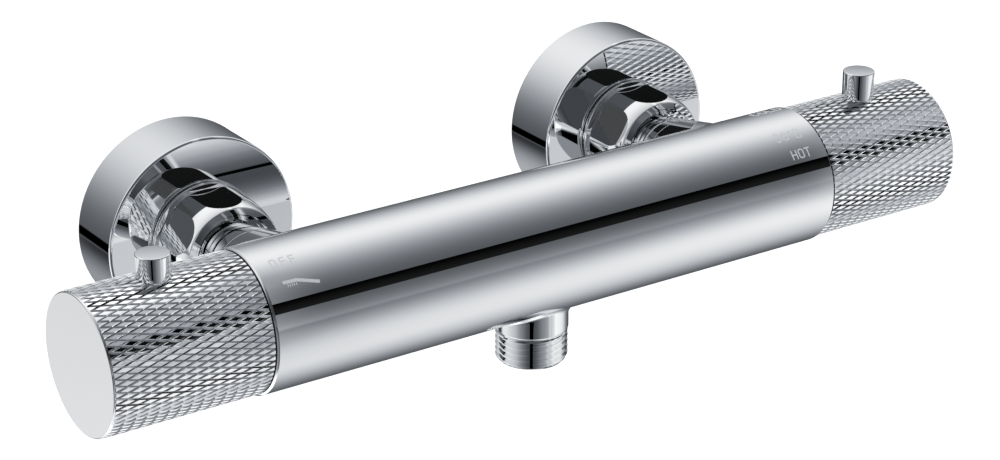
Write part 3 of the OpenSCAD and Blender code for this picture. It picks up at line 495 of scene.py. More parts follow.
# Painted glow of the markings, a light of their own that keeps the thin markings readable in the
# bar's dark band
MARKING_PAINTED_GLOW = 0.25
# Moulded finishes: colour, roughness, scale of the grain, strength of the grain
MOULDED = {
    "white_ceramic": ((0.93, 0.93, 0.91), 0.18, 4000.0, 0.05),
    "white_plastic": ((0.88, 0.88, 0.86), 0.42, 2600.0, 0.18),
    "black_plastic": ((0.06, 0.06, 0.065), 0.46, 2600.0, 0.2),
    "blue_plastic": ((0.08, 0.24, 0.6), 0.4, 2600.0, 0.18),
    "red_plastic": ((0.6, 0.07, 0.06), 0.4, 2600.0, 0.18),
    "black_rubber": ((0.03, 0.03, 0.03), 0.6, 1800.0, 0.3),
    "grey_rubber": ((0.22, 0.23, 0.24), 0.7, 1500.0, 0.4),
}


class VALVE_OT_finishes(bpy.types.Operator):
    """Makes the finishes and puts them on the pieces that stay as packed"""
    bl_idname = "valve.finishes"
    bl_label = "Finishes"

    def execute(self, context):
        colours = context.scene.valve_colours
        make_haze_group()
        make_tool_mark_group()
        make_grain_group()
        make_chrome("polished_chrome", tuple(colours.chrome), *CHROME_HAZE)
        # The knurled chrome is the same chrome painted brighter, a painted highlight
        make_chrome("knurled_chrome", shaded(colours.chrome, KNURL_PAINTED_HIGHLIGHT), *CHROME_HAZE)
        make_turned_metal("bare_brass", tuple(colours.brass), 9000.0, 0.22, 0.36)
        make_turned_metal("stainless_steel", STEEL, 12000.0, 0.18, 0.3)
        for name, (colour, roughness, grain, strength) in MOULDED.items():
            make_moulded(name, colour, roughness, grain, strength)
        make_marking(tuple(colours.marking))
        for part in frame["record"]["subparts"]:
            node = frame["nodes"][part["node"]]
            finish = bpy.data.materials[part["material_slot"]]
            if not node.material_slots:
                node.data.materials.append(finish)
            for slot in node.material_slots:
                slot.material = finish
        return {"FINISHED"}


def make_marking(colour):
    """Matt, etched line work that stands out on the chrome, with a painted glow of its own."""
    tree, shader, where = start_finish("etched_marking", colour, 0)
    skin = add_group(tree, "Moulded grain", where, Grain=9000.0, Clouding=900.0)
    shader.inputs["Roughness"].default_value = 0.7
    # The emission is a painted glow: the markings light themselves, though they are no lamp
    shader.inputs["Emission Color"].default_value = (*colour, 1)
    shader.inputs["Emission Strength"].default_value = MARKING_PAINTED_GLOW
    add_bump(tree, shader, skin.outputs["Height"], 0.2, 0.00001)
    vary_colour(tree, shader, skin.outputs["Mask"], shaded(colour, 0.94), shaded(colour, 1.04))


# ---------------------------------------------------------------- geometry node trees

class NodeMaker:
    """Builds a geometry node tree a step at a time."""

    def __init__(self, name, takes):
        self.tree = bpy.data.node_groups.new(name, "GeometryNodeTree")
        self.tree.is_modifier = True
        self.ids = {}
        socket = self.tree.interface.new_socket(name="Geometry", in_out="INPUT",
                                                socket_type="NodeSocketGeometry")
        for label, kind, value in takes:
            socket = self.tree.interface.new_socket(name=label, in_out="INPUT", socket_type=kind)
            if value is not None:
                socket.default_value = value
            self.ids[label] = socket.identifier
        self.tree.interface.new_socket(name="Geometry", in_out="OUTPUT",
                                       socket_type="NodeSocketGeometry")
        self.take = self.tree.nodes.new("NodeGroupInput")
        self.give = self.tree.nodes.new("NodeGroupOutput")

    def value(self, label):
        return self.take.outputs[label]

    def node(self, kind, links=None, **settings):
        made = self.tree.nodes.new(kind)
        for key, value in settings.items():
            setattr(made, key, value)
        for key, value in (links or {}).items():
            socket = made.inputs[key]
            if isinstance(value, bpy.types.NodeSocket):
                self.tree.links.new(value, socket)
            else:
                socket.default_value = value
        return made

    def math(self, operation, *values):
        made = self.node("ShaderNodeMath", operation=operation)
        for i, value in enumerate(values):
            if isinstance(value, bpy.types.NodeSocket):
                self.tree.links.new(value, made.inputs[i])
            else:
                made.inputs[i].default_value = value
        return made.outputs[0]

    def vector(self, x, y, z):
        made = self.node("ShaderNodeCombineXYZ")
        for i, value in enumerate((x, y, z)):
            if isinstance(value, bpy.types.NodeSocket):
                self.tree.links.new(value, made.inputs[i])
            else:
                made.inputs[i].default_value = value
        return made.outputs[0]

    def finish(self, geometry):
        """Ends the tree in real geometry with its finish."""
        real = self.node("GeometryNodeRealizeInstances", {"Geometry": geometry})
        merged = self.node("GeometryNodeMergeByDistance",
                           {"Geometry": real.outputs[0], "Distance": 2e-6})
        coated = self.node("GeometryNodeSetMaterial",
                           {"Geometry": merged.outputs[0], "Material": self.value("Finish")})
        self.tree.links.new(coated.outputs[0], self.give.inputs["Geometry"])


def run_tree(name, maker, values):
    """Runs a geometry node tree on an empty mesh and keeps the plain result."""
    piece = bpy.data.objects.new(name, bpy.data.meshes.new(name))
    bpy.context.scene.collection.objects.link(piece)
    step = piece.modifiers.new("Pattern", "NODES")
    step.node_group = maker.tree
    for label, value in values.items():
        step[maker.ids[label]] = value
    apply_modifiers(piece)
    if not piece.data.polygons:
        raise RuntimeError("the pattern of " + name + " is empty")
    return piece


def make_knurl_tree():
    """Rows of flat-topped diamonds round a tube, each a copy of one small shape."""
    maker = NodeMaker("Diamond knurl", [
        ("Whole diamond", "NodeSocketObject", None), ("Half diamond", "NodeSocketObject", None),
        ("Diamonds round", "NodeSocketInt", 70), ("Half rows", "NodeSocketInt", 14),
        ("Half length", "NodeSocketFloat", 0.003), ("Start", "NodeSocketFloat", 0.0),
        ("Finish", "NodeSocketMaterial", None)])
    count = maker.value("Diamonds round")
    rows = maker.value("Half rows")
    index = maker.node("GeometryNodeInputIndex").outputs[0]
    column = maker.math("MODULO", index, count)
    row = maker.math("FLOOR", maker.math("DIVIDE", maker.math("ADD", index, 0.5), count))
    shift = maker.math("MULTIPLY", maker.math("MODULO", row, 2), 0.5)
    angle = maker.math("DIVIDE", maker.math("MULTIPLY", maker.math("ADD", column, shift), math.tau),
                       count)
    inner_x = maker.math("ADD", maker.value("Start"),
                         maker.math("MULTIPLY", maker.math("ADD", row, 1),
                                    maker.value("Half length")))
    inner_angle = maker.math("ADD", angle, maker.math("DIVIDE", math.pi, count))
    inner = maker.node("GeometryNodeMeshLine",
                       {"Count": maker.math("MULTIPLY", count, maker.math("SUBTRACT", rows, 1))})
    inner_points = maker.node("GeometryNodeSetPosition",
                              {"Geometry": inner.outputs[0],
                               "Position": maker.vector(inner_x, 0, 0)})
    whole = maker.node("GeometryNodeObjectInfo", {"Object": maker.value("Whole diamond")})
    half = maker.node("GeometryNodeObjectInfo", {"Object": maker.value("Half diamond")})
    inner_turn = maker.node("FunctionNodeEulerToRotation", {0: maker.vector(inner_angle, 0, 0)})
    copies = maker.node("GeometryNodeInstanceOnPoints",
                        {"Points": inner_points.outputs[0], "Instance": whole.outputs["Geometry"],
                         "Rotation": inner_turn.outputs[0]})
    end_angle = maker.math("DIVIDE", maker.math("MULTIPLY", column, math.tau), count)
    end_x = maker.math("ADD", maker.value("Start"),
                       maker.math("MULTIPLY", maker.math("MULTIPLY", row, rows),
                                  maker.value("Half length")))
    ends = maker.node("GeometryNodeMeshLine", {"Count": maker.math("MULTIPLY", count, 2)})
    end_points = maker.node("GeometryNodeSetPosition",
                            {"Geometry": ends.outputs[0], "Position": maker.vector(end_x, 0, 0)})
    end_turn = maker.node("FunctionNodeEulerToRotation",
                          {0: maker.vector(end_angle, 0, maker.math("MULTIPLY", row, math.pi))})
    end_copies = maker.node("GeometryNodeInstanceOnPoints",
                            {"Points": end_points.outputs[0], "Instance": half.outputs["Geometry"],
                             "Rotation": end_turn.outputs[0]})
    both = maker.node("GeometryNodeJoinGeometry")
    maker.tree.links.new(copies.outputs[0], both.inputs[0])
    maker.tree.links.new(end_copies.outputs[0], both.inputs[0])
    maker.finish(both.outputs[0])
    return maker


def make_thread_tree():
    """Pipe thread round Z as a grid whose rows follow the helix.

    samples is how many rows a turn has; crest and root say, as shares of a turn from the crest's
    middle, where a flank begins and ends.
    """
    maker = NodeMaker("Pipe thread", [
        ("Crest radius", "NodeSocketFloat", 0.0105), ("Depth", "NodeSocketFloat", 0.00116),
        ("Pitch", "NodeSocketFloat", 0.001814), ("Length", "NodeSocketFloat", 0.01),
        ("Run-out", "NodeSocketFloat", 0.0015), ("Lead-in", "NodeSocketFloat", 0.0008),
        ("End radius", "NodeSocketFloat", 0.0105), ("Steps round", "NodeSocketInt", 120),
        ("Finish", "NodeSocketMaterial", None)])
    samples = 12
    crest, root = 0.08, 0.42
    steps = maker.value("Steps round")
    pitch = maker.value("Pitch")
    length = maker.value("Length")
    turns = maker.math("CEIL", maker.math("DIVIDE", length, pitch))
    rows = maker.math("MULTIPLY", maker.math("ADD", turns, 2), samples)
    around = maker.math("ADD", steps, 1)
    grid = maker.node("GeometryNodeMeshGrid", {
        "Size X": 1.0, "Size Y": 1.0, "Vertices X": maker.math("ADD", rows, 1),
        "Vertices Y": around})
    index = maker.node("GeometryNodeInputIndex").outputs[0]
    row = maker.math("FLOOR", maker.math("DIVIDE", maker.math("ADD", index, 0.5), around))
    column = maker.math("SUBTRACT", index, maker.math("MULTIPLY", row, around))
    share = maker.math("DIVIDE", column, steps)
    angle = maker.math("MULTIPLY", share, math.tau)
    turn = maker.math("SUBTRACT", maker.math("ADD", maker.math("DIVIDE", row, samples), share), 1)
    free = maker.math("MULTIPLY", turn, pitch)
    height = maker.math("MINIMUM", maker.math("MAXIMUM", free, 0), length)
    phase = maker.math("DIVIDE", maker.math("MODULO", row, samples), samples)
    wave = maker.math("ABSOLUTE", maker.math("SUBTRACT", phase, 0.5))
    flank = maker.node("ShaderNodeMapRange", {
        "Value": wave, "From Min": crest, "From Max": root, "To Min": 0.0,
        "To Max": 1.0}).outputs[0]
    fade = maker.node("ShaderNodeMapRange", {
        "Value": height, "From Min": 0.0, "From Max": maker.value("Run-out"),
        "To Min": 1.0, "To Max": 0.0}, interpolation_type="SMOOTHSTEP").outputs[0]
    cut = maker.math("MULTIPLY", maker.value("Depth"),
                     maker.math("MULTIPLY", flank, maker.math("SUBTRACT", 1, fade)))
    threaded = maker.math("SUBTRACT", maker.value("Crest radius"), cut)
    taper = maker.math("ADD", maker.value("End radius"), maker.math("SUBTRACT", length, height))
    radius = maker.math("MINIMUM", threaded, taper)
    place = maker.vector(maker.math("MULTIPLY", radius, maker.math("COSINE", angle)),
                         maker.math("MULTIPLY", radius, maker.math("SINE", angle)), height)
    shaped = maker.node("GeometryNodeSetPosition", {"Geometry": grid.outputs[0], "Position": place})
    maker.finish(shaped.outputs[0])
    return maker


# ---------------------------------------------------------------- bar

def point_on_bar(radius, x, angle):
    """Point on the bar at an angle from the top towards the front."""
    return (x, BAR_Y - radius * math.sin(angle), radius * math.cos(angle))


def rolling_fillet(collar_r, ball, sections=144, steps=10, sunk=1 * MM, tail=0.06):
    """Ring that a ball leaves between the bar and its collar, closed inside the metal."""
    verts = []
    far = collar_r + ball
    for k in range(sections):
        a = math.tau * k / sections
        out = Vector((math.cos(a), math.sin(a), 0))
        centre = far * out
        centre.z = -math.sqrt((BAR_R + ball) ** 2 - centre.y ** 2)
        to_collar = -out
        to_bar = -Vector((0, centre.y, centre.z)) / (BAR_R + ball)
        inner = (collar_r - sunk) * out
        ring = [inner + Vector((0, 0, centre.z))]
        ring += [centre + ball * to_collar.slerp(to_bar, tail + (1 - 2 * tail) * i / steps)
                 for i in range(steps + 1)]
        ring.append(centre + (ball + sunk) * to_bar)
        ring.append(inner - Vector((0, 0, math.sqrt((BAR_R - sunk) ** 2 - inner.y ** 2))))
        verts += [p + Vector((0, BAR_Y, 0)) for p in ring]
    size = len(ring)
    faces = [[k * size + i, m * size + i, m * size + (i + 1) % size, k * size + (i + 1) % size]
             for k in range(sections) for m in [(k + 1) % sections] for i in range(size)]
    return new_piece("fillet", verts, faces)


# Waterways cut into the bar: axis and profile of (radius, station) in millimetres
FLOW_POCKET = ("X", ((10.5, -62), (10.5, -96), (0, -96), (0, -62)))
THERMOSTAT_POCKET = ("X", ((14.5, 55), (14.5, 86), (16.4, 86), (16.4, 96), (0, 96), (0, 55)))
OUTLET_WAY = ("Z", ((8.25, -17), (8.25, -26), (0, -26), (0, -17)))
# An inlet's bore: its radius, how deep it runs and how far the cut stands out, in millimetres
INLET_R, INLET_DEPTH, INLET_OUT = 8.45, 9.4, 1


class VALVE_OT_bar(bpy.types.Operator):
    """Makes the bar with its two inlet bosses, its outlet collar and its waterways"""
    bl_idname = "valve.bar"
    bl_label = "Bar"

    def execute(self, context):
        sizes = context.scene.valve_sizes
        n = sizes.segments
        centre = (0, BAR_Y, 0)
        edge = sizes.bar_chamfer
        soft = 0.08 * MM
        tip_edge = 0.3 * MM
        bar = turned("bar", rounded(
            [(0, -BAR_END), (BAR_R - edge, -BAR_END), (BAR_R, -BAR_END + edge),
             (BAR_R, BAR_END - edge), (BAR_R - edge, BAR_END), (0, BAR_END)],
            [0, soft, soft, soft, soft, 0], 2), "X", centre, n)
        boss_root_y = BAR_Y + math.sqrt(BAR_R ** 2 - sizes.boss_root ** 2)
        boss_end = NUT_FRONT + 0.4 * MM
        for side in (-1, 1):
            at = (side * sizes.inlet_spacing / 2, BAR_Y, 0)
            boss = turned("boss", [(0, BAR_Y), (sizes.boss_root, BAR_Y),
                                   (sizes.boss_root, boss_root_y),
                                   (sizes.boss_tip + tip_edge, boss_end - tip_edge),
                                   (sizes.boss_tip, boss_end), (0, boss_end)], "Y", at, n // 2)
            combine(bar, boss, "UNION")
        collar_r = sizes.collar_radius
        collar_end = OUTLET_END + THREAD_LENGTH
        collar = turned("collar", [(0, 0), (collar_r, 0), (collar_r, collar_end), (0, collar_end)],
                        "Z", centre, n // 2)
        combine(bar, collar, "UNION")
        combine(bar, rolling_fillet(collar_r, sizes.outlet_fillet), "UNION")
        cuts = [(axis, centre, profile)
                for axis, profile in (FLOW_POCKET, THERMOSTAT_POCKET, OUTLET_WAY)]
        low, high = boss_end / MM - INLET_DEPTH, boss_end / MM + INLET_OUT
        inlet = ((INLET_R, low), (INLET_R, high), (0, high), (0, low))
        cuts += [("Y", (side * sizes.inlet_spacing / 2, BAR_Y, 0), inlet) for side in (-1, 1)]
        for axis, at, profile in cuts:
            cut = turned("cut", [(r * MM, s * MM) for r, s in profile], axis, at, n // 2)
            combine(bar, cut, "DIFFERENCE")
        polish(bar, 24)
        for side in (-1, 1):
            at = (side * sizes.inlet_spacing / 2, BAR_Y, 0)
            even_turned(bar, at, lambda face, r: (r < sizes.boss_root + 0.1 * MM
                                                  and face.center.y > boss_root_y + 0.2 * MM))
        finish_piece(bar, "polished_chrome", "valve", ["valve_body"])
        return {"FINISHED"}


class VALVE_OT_outlet(bpy.types.Operator):
    """Makes the threaded hose outlet below the bar"""
    bl_idname = "valve.outlet"
    bl_label = "Hose outlet"

    def execute(self, context):
        threads = context.scene.valve_threads
        n = 144
        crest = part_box("outlet_spigot")[1][0]
        shoulder = OUTLET_END + THREAD_LENGTH
        end_r = crest - 1.1 * MM
        socket_r, socket_depth = 8.2 * MM, 7 * MM
        way_r, way_edge = 6.5 * MM, 0.4 * MM
        thread = run_tree("outlet_thread", make_thread_tree(), {
            "Crest radius": crest, "Depth": threads.depth, "Pitch": threads.pitch,
            "Length": shoulder - OUTLET_END, "Run-out": 2.2 * MM, "End radius": end_r,
            "Steps round": n, "Finish": bpy.data.materials["polished_chrome"]})
        flip = Matrix.Translation((0, BAR_Y, shoulder)) @ Matrix.Rotation(math.pi, 4, "X")
        thread.data.transform(flip)
        inside = turned("outlet_inside", [
            (crest, shoulder), (socket_r, shoulder), (socket_r, shoulder + socket_depth),
            (way_r, shoulder + socket_depth), (way_r, OUTLET_END + way_edge),
            (6.9 * MM, OUTLET_END), (end_r, OUTLET_END)], "Z", (0, BAR_Y, 0), n)
        outlet = joined([thread, inside], "hose_outlet")
        set_outwards(outlet, 3e-6)
        polish(outlet, 50)
        finish_piece(outlet, "polished_chrome", "valve", ["outlet_spigot"])
        return {"FINISHED"}


# ---------------------------------------------------------------- wall side

def hexagon(name, flats, low, high, centre):
    """Six-sided prism along Y with a flat on top."""
    corner = flats / 2 / math.cos(math.radians(30))
    verts = [(centre[0] + corner * math.cos(math.radians(60 * k)), y,
              centre[2] + corner * math.sin(math.radians(60 * k)))
             for y in (low, high) for k in range(6)]
    faces = [list(range(6)), list(range(11, 5, -1))]
    faces += [[k, 6 + k, 6 + (k + 1) % 6, (k + 1) % 6] for k in range(6)]
    return new_piece(name, verts, faces)


# Turned steps of a nut's bore: radius and distance behind the nut's front, in millimetres
NUT_BORE = ((12.9, -1), (12.6, 0), (12.3, 0.3), (12.3, 0.8), (11.4, 0.8), (11.4, 1.6),
            (10.5, 1.6), (10.5, 2.6), (9.5, 2.6), (9.5, 4.9), (13.27, 4.9))


class VALVE_OT_nuts(bpy.types.Operator):
    """Makes the two union nuts with their turned corners and round back rims"""
    bl_idname = "valve.nuts"
    bl_label = "Union nuts"

    def execute(self, context):
        sizes = context.scene.valve_sizes
        n = sizes.segments
        turned_r = 16.1 * MM
        nose_arc = 15.3 * MM
        nose_back = NUT_FRONT + 6.4 * MM
        bore_limit = 13.4 * MM
        rim_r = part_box("hot_union_nut")[1][2]
        flats_back = NUT_BACK - 1.2 * MM
        for side, name in SIDES:
            at = (side * sizes.inlet_spacing / 2, BAR_Y, 0)
            widest = math.asin((nose_back - NUT_FRONT) / nose_arc)
            nose = [(turned_r - nose_arc * (1 - math.cos(a)), nose_back - nose_arc * math.sin(a))
                    for a in [widest * (1 - k / 9) for k in range(10)]]
            blank = turned("blank", rounded(
                [(0, NUT_FRONT)] + nose + [
                    (turned_r, flats_back - 1.6 * MM), (sizes.nut_flats / 2 - 0.3 * MM, flats_back),
                    (0, flats_back)], [0, 0.3 * MM] + [0] * 9 + [0.5 * MM, 0, 0]), "Y", at, n)
            bolt = hexagon(name + "_nut", sizes.nut_flats, NUT_FRONT - MM, flats_back + MM, at)
            nut = combine(bolt, blank, "INTERSECT")
            nut.name = name + "_nut"
            soften = nut.modifiers.new("Soften", "BEVEL")
            soften.limit_method = "ANGLE"
            soften.angle_limit = math.radians(20)
            soften.width = 0.16 * MM
            soften.segments = 2
            apply_modifiers(nut)
            rim = turned("rim", rounded(
                [(0, flats_back - 0.3 * MM), (rim_r, flats_back), (rim_r, NUT_BACK), (0, NUT_BACK)],
                [0, 0.4 * MM, 0.4 * MM, 0]), "Y", at, n)
            combine(nut, rim, "UNION")
            steps = [(r * MM, NUT_FRONT + s * MM) for r, s in NUT_BORE]
            bore = turned("bore", [(0, NUT_FRONT - MM)] + steps + [
                (NUT_BORE[-1][0] * MM, NUT_BACK + MM), (0, NUT_BACK + MM)], "Y", at, n)
            combine(nut, bore, "DIFFERENCE")
            polish(nut, 28)
            even_turned(nut, at, lambda face, r: r < bore_limit)
            finish_piece(nut, "polished_chrome", "valve", [name + "_union_nut"])
        return {"FINISHED"}


class VALVE_OT_tailpieces(bpy.types.Operator):
    """Makes the two tailpieces whose necks show in the nuts' mouths"""
    bl_idname = "valve.tailpieces"
    bl_label = "Tailpieces"

    def execute(self, context):
        sizes = context.scene.valve_sizes
        low, high = (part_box("hot_tailpiece")[i][1] for i in (0, 1))
        shoulder = NUT_FRONT + 0.4 * MM
        lip = NUT_FRONT + 4.9 * MM
        stop = high - 12.2 * MM
        way_r, seat_r, nose_r, neck_r, collar_r = (r * MM for r in (6, 7, 8.4, 9.4, 12.3))
        outline = [(way_r, low), (nose_r, low), (nose_r, shoulder), (neck_r, shoulder),
                   (neck_r, lip), (collar_r, lip), (collar_r, high), (seat_r, high),
                   (seat_r, stop), (way_r, stop), (way_r, low)]
        curves = [0, 0.2 * MM, 0, 0.2 * MM, 0.3 * MM, 0.3 * MM, 0.2 * MM, 0.2 * MM, 0, 0, 0]
        for side, name in SIDES:
            tail = turned(name + "_tail", rounded(outline, curves)[:-1], "Y",
                          (side * sizes.inlet_spacing / 2, BAR_Y, 0), 144, closed=True)
            polish(tail)
            finish_piece(tail, "polished_chrome", "valve", [name + "_tailpiece"])
        return {"FINISHED"}


class VALVE_OT_flanges(bpy.types.Operator):
    """Makes the two deep round wall flanges"""
    bl_idname = "valve.flanges"
    bl_label = "Wall flanges"

    def execute(self, context):
        sizes = context.scene.valve_sizes
        sheet = 1.2 * MM
        hole = 13.37 * MM
        outline = [(hole, FLANGE_FRONT + sheet), (hole, FLANGE_FRONT), (FLANGE_R, FLANGE_FRONT),
                   (FLANGE_R, 0), (FLANGE_R - sheet, 0), (FLANGE_R - sheet, FLANGE_FRONT + sheet),
                   (hole, FLANGE_FRONT + sheet)]
        curves = [0, 0.15 * MM, 0.8 * MM, 0.2 * MM, 0.2 * MM, 0, 0]
        for side, name in SIDES:
            at = (side * sizes.inlet_spacing / 2, BAR_Y, 0)
            cup = turned(name + "_flange", rounded(outline, curves, 6)[:-1], "Y", at,
                         sizes.segments, closed=True)
            polish(cup)
            finish_piece(cup, "polished_chrome", "valve",
                         [name + "_wall_flange"])
        return {"FINISHED"}


class VALVE_OT_unions(bpy.types.Operator):
    """Makes the two eccentric unions with their pipe threads"""
    bl_idname = "valve.unions"
    bl_label = "Eccentric unions"

    def execute(self, context):
        sizes = context.scene.valve_sizes
        threads = context.scene.valve_threads
        n = 120
        chrome = bpy.data.materials["polished_chrome"]
        offset = 5 * MM
        front_r = 13.22 * MM
        wall_r = 10.48 * MM
        step = FLANGE_FRONT + 7 * MM
        shoulder = step + 6.1 * MM
        bore_r = 8 * MM
        wall_bore_r = 7.25 * MM
        bends = 8
        tree = make_thread_tree()
        for side, name in SIDES:
            x = side * sizes.inlet_spacing / 2
            front = run_tree("front_thread", tree, {
                "Crest radius": front_r, "Depth": threads.depth, "Pitch": threads.pitch,
                "Length": step - UNION_FRONT, "Run-out": 2 * MM, "End radius": front_r - 0.8 * MM,
                "Steps round": n, "Finish": chrome})
            front.data.transform(Matrix.Translation((x, step, 0))
                                 @ Matrix.Rotation(math.pi / 2, 4, "X"))
            wall = run_tree("wall_thread", tree, {
                "Crest radius": wall_r, "Depth": threads.depth, "Pitch": threads.pitch,
                "Length": WALL_END - shoulder, "Run-out": 2 * MM, "End radius": wall_r - 0.8 * MM,
                "Steps round": n, "Finish": chrome})
            wall.data.transform(Matrix.Translation((x, shoulder, -offset))
                                @ Matrix.Rotation(-math.pi / 2, 4, "X"))
            rings = [(front_r, step, 0), (front_r, step, 0)]
            for k in range(bends + 1):
                t = k / bends
                s = t * t * (3 - 2 * t)
                rings.append((front_r - 0.5 * MM + s * (wall_r + 1 * MM - front_r + 0.5 * MM),
                              step + t * (shoulder - step), -offset * s))
            rings += [(wall_r, shoulder, -offset)]
            inside = [(wall_r - 0.8 * MM, WALL_END, -offset), (wall_bore_r, WALL_END, -offset),
                      (wall_bore_r, shoulder, -offset), (bore_r, step, 0), (bore_r, UNION_FRONT, 0),
                      (front_r - 0.8 * MM, UNION_FRONT, 0)]
            parts = [front, wall]
            for label, loops in (("body", rings), ("inside", inside)):
                verts = [place_on_axis("Y", r, y, math.tau * k / n, (x, 0, z))
                         for r, y, z in loops for k in range(n)]
                faces = [[i * n + k, i * n + m, (i + 1) * n + m, (i + 1) * n + k]
                         for i in range(len(loops) - 1) for k in range(n) for m in [(k + 1) % n]]
                parts.append(new_piece(label, verts, faces))
            union = joined(parts, name + "_union")
            set_outwards(union, 4e-6)
            polish(union, 50)
            finish_piece(union, "polished_chrome", "valve",
                         [name + "_eccentric_union"])
        return {"FINISHED"}


# Springs that a moving piece shortens: node, body, joint, axis of the push and its travel.
# Each stands on the low corner of its box, within 0.05 mm of the fixed end that the record names.
SPRINGS = (
    ("hot_check_spring", "valve", "hot_check_open", (0, -1, 0), 2.5 * MM),
    ("cold_check_spring", "valve", "cold_check_open", (0, -1, 0), 2.5 * MM),
    ("safety_spring", "temperature_handle", "safety_button_press", (0, 0, -1), 2 * MM))


class VALVE_OT_springs(bpy.types.Operator):
    """Makes the wire springs of the two check valves and of the safety button as steel copies of
    the imported ones
    """
    bl_idname = "valve.springs"
    bl_label = "Springs"

    def execute(self, context):
        for node, body, joint, push, travel in SPRINGS:
            spring = bpy.data.objects.new(node.replace("_spring", "_coil"),
                                          frame["nodes"][node].data.copy())
            context.scene.collection.objects.link(spring)
            set_outwards(spring)
            finish_piece(spring, "stainless_steel", body, [node])
            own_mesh(spring)
        return {"FINISHED"}


# ---------------------------------------------------------------- handles

def diamond_shapes(knurl, half_length, radius):
    """Whole and half diamond with a flat top, lying at the handle's radius above X."""
    step = math.pi / knurl.round_count
    low = radius - knurl.depth
    half_height = low * math.tan(step)
    corner = low / math.cos(step)
    share = knurl.pad_share
    tip = half_length * share
    top = radius * math.tan(step) * share
    points = {
        "left": (-half_length, 0, corner), "right": (half_length, 0, corner),
        "up": (0, half_height, low), "down": (0, -half_height, low),
        "pad_left": (-tip, 0, radius), "pad_right": (tip, 0, radius),
        "pad_up": (0, top, radius), "pad_down": (0, -top, radius)}
    whole = [("pad_left", "pad_down", "pad_right", "pad_up"),
             ("left", "down", "pad_down", "pad_left"), ("down", "right", "pad_right", "pad_down"),
             ("right", "up", "pad_up", "pad_right"), ("up", "left", "pad_left", "pad_up")]
    half = [("pad_down", "pad_right", "pad_up"), ("down", "right", "pad_right", "pad_down"),
            ("right", "up", "pad_up", "pad_right")]
    made = []
    for name, faces in (("whole_diamond", whole), ("half_diamond", half)):
        names = sorted({corner_name for face in faces for corner_name in face})
        mesh = bpy.data.meshes.new(name)
        mesh.from_pydata([points[k] for k in names], [],
                         [[names.index(k) for k in face] for face in faces])
        shape = bpy.data.objects.new(name, mesh)
        bpy.context.scene.collection.objects.link(shape)
        made.append(shape)
    return made


def close_tube(piece, bore):
    """Adds the two end faces and the bore to a knurled skin round X."""
    work = bmesh.new()
    work.from_mesh(piece.data)
    rim = [e for e in work.edges if e.is_boundary]
    made = bmesh.ops.extrude_edge_only(work, edges=rim)
    inner = [v for v in made["geom"] if isinstance(v, bmesh.types.BMVert)]
    for v in inner:
        angle = math.atan2(v.co.z, v.co.y)
        v.co.y = bore * math.cos(angle)
        v.co.z = bore * math.sin(angle)
    inner_edges = [e for e in work.edges if e.is_boundary]
    bmesh.ops.bridge_loops(work, edges=inner_edges)
    bmesh.ops.recalc_face_normals(work, faces=work.faces)
    work.to_mesh(piece.data)
    work.free()


class VALVE_OT_handle_shells(bpy.types.Operator):
    """Makes the two knurled tubes of the handles, each with the hole for its pin"""
    bl_idname = "valve.handle_shells"
    bl_label = "Knurled handles"

    def execute(self, context):
        sizes = context.scene.valve_sizes
        knurl = context.scene.valve_knurl
        half_length = (SHELL_END - SHELL_START) / knurl.row_count
        shell_bore = 17.7 * MM
        hole_r = sizes.pin_radius + 0.1 * MM
        hole_low, hole_high = 10 * MM, 22 * MM
        whole, half = diamond_shapes(knurl, half_length, HANDLE_R)
        tree = make_knurl_tree()
        for side, name in ((-1, "flow"), (1, "temperature")):
            # The shells get the knurled chrome, the chrome painted brighter as a painted highlight
            shell = run_tree(name + "_shell", tree, {
                "Whole diamond": whole, "Half diamond": half, "Diamonds round": knurl.round_count,
                "Half rows": knurl.row_count, "Half length": half_length, "Start": SHELL_START,
                "Finish": bpy.data.materials["knurled_chrome"]})
            close_tube(shell, shell_bore)
            if side < 0:
                shell.data.transform(Matrix.Rotation(math.pi, 4, "Z"))
            shell.data.transform(Matrix.Translation((0, BAR_Y, 0)))
            hole = turned("hole", [(0, hole_low), (hole_r, hole_low), (hole_r, hole_high),
                                   (0, hole_high)], "Z",
                          (side * (BAR_END + sizes.pin_from_seam), BAR_Y, 0), 64)
            combine(shell, hole, "DIFFERENCE")
            shell.name = name + "_shell"
            finish_piece(shell, "knurled_chrome", name + "_handle",
                         [name + "_handle_shell"])
        bpy.data.objects.remove(whole)
        bpy.data.objects.remove(half)
        return {"FINISHED"}


class VALVE_OT_pins(bpy.types.Operator):
    """Makes the lever pin and the safety button"""
    bl_idname = "valve.pins"
    bl_label = "Lever pin and safety button"

    def execute(self, context):
        sizes = context.scene.valve_sizes
        r = sizes.pin_radius
        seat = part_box("flow_lever_pin")[0][2]
        stud_r, stud_top = 2.5 * MM, seat + 6 * MM
        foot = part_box("safety_button")[0][2]
        flange_r, flange_top = 5.8 * MM, foot + 1.2 * MM
        lever = [(0, seat), (stud_r, seat), (stud_r, stud_top), (r, stud_top), (r, LEVER_TOP),
                 (0, LEVER_TOP)]
        button = [(0, foot), (flange_r, foot), (flange_r, flange_top), (r, flange_top),
                  (r, BUTTON_TOP), (0, BUTTON_TOP)]
        for side, name, body, profile, replaced in (
                (-1, "lever_pin", "flow_handle", lever, "flow_lever_pin"),
                (1, "safety_button_cap", "safety_stop", button, "safety_button")):
            at = (side * (BAR_END + sizes.pin_from_seam), BAR_Y, 0)
            pin = turned(name, rounded(profile, [0, 0.2 * MM, 0, 0, 0.35 * MM, 0], 6), "Z", at, 128)
            polish(pin)
            finish_piece(pin, "polished_chrome", body, [replaced])
        return {"FINISHED"}


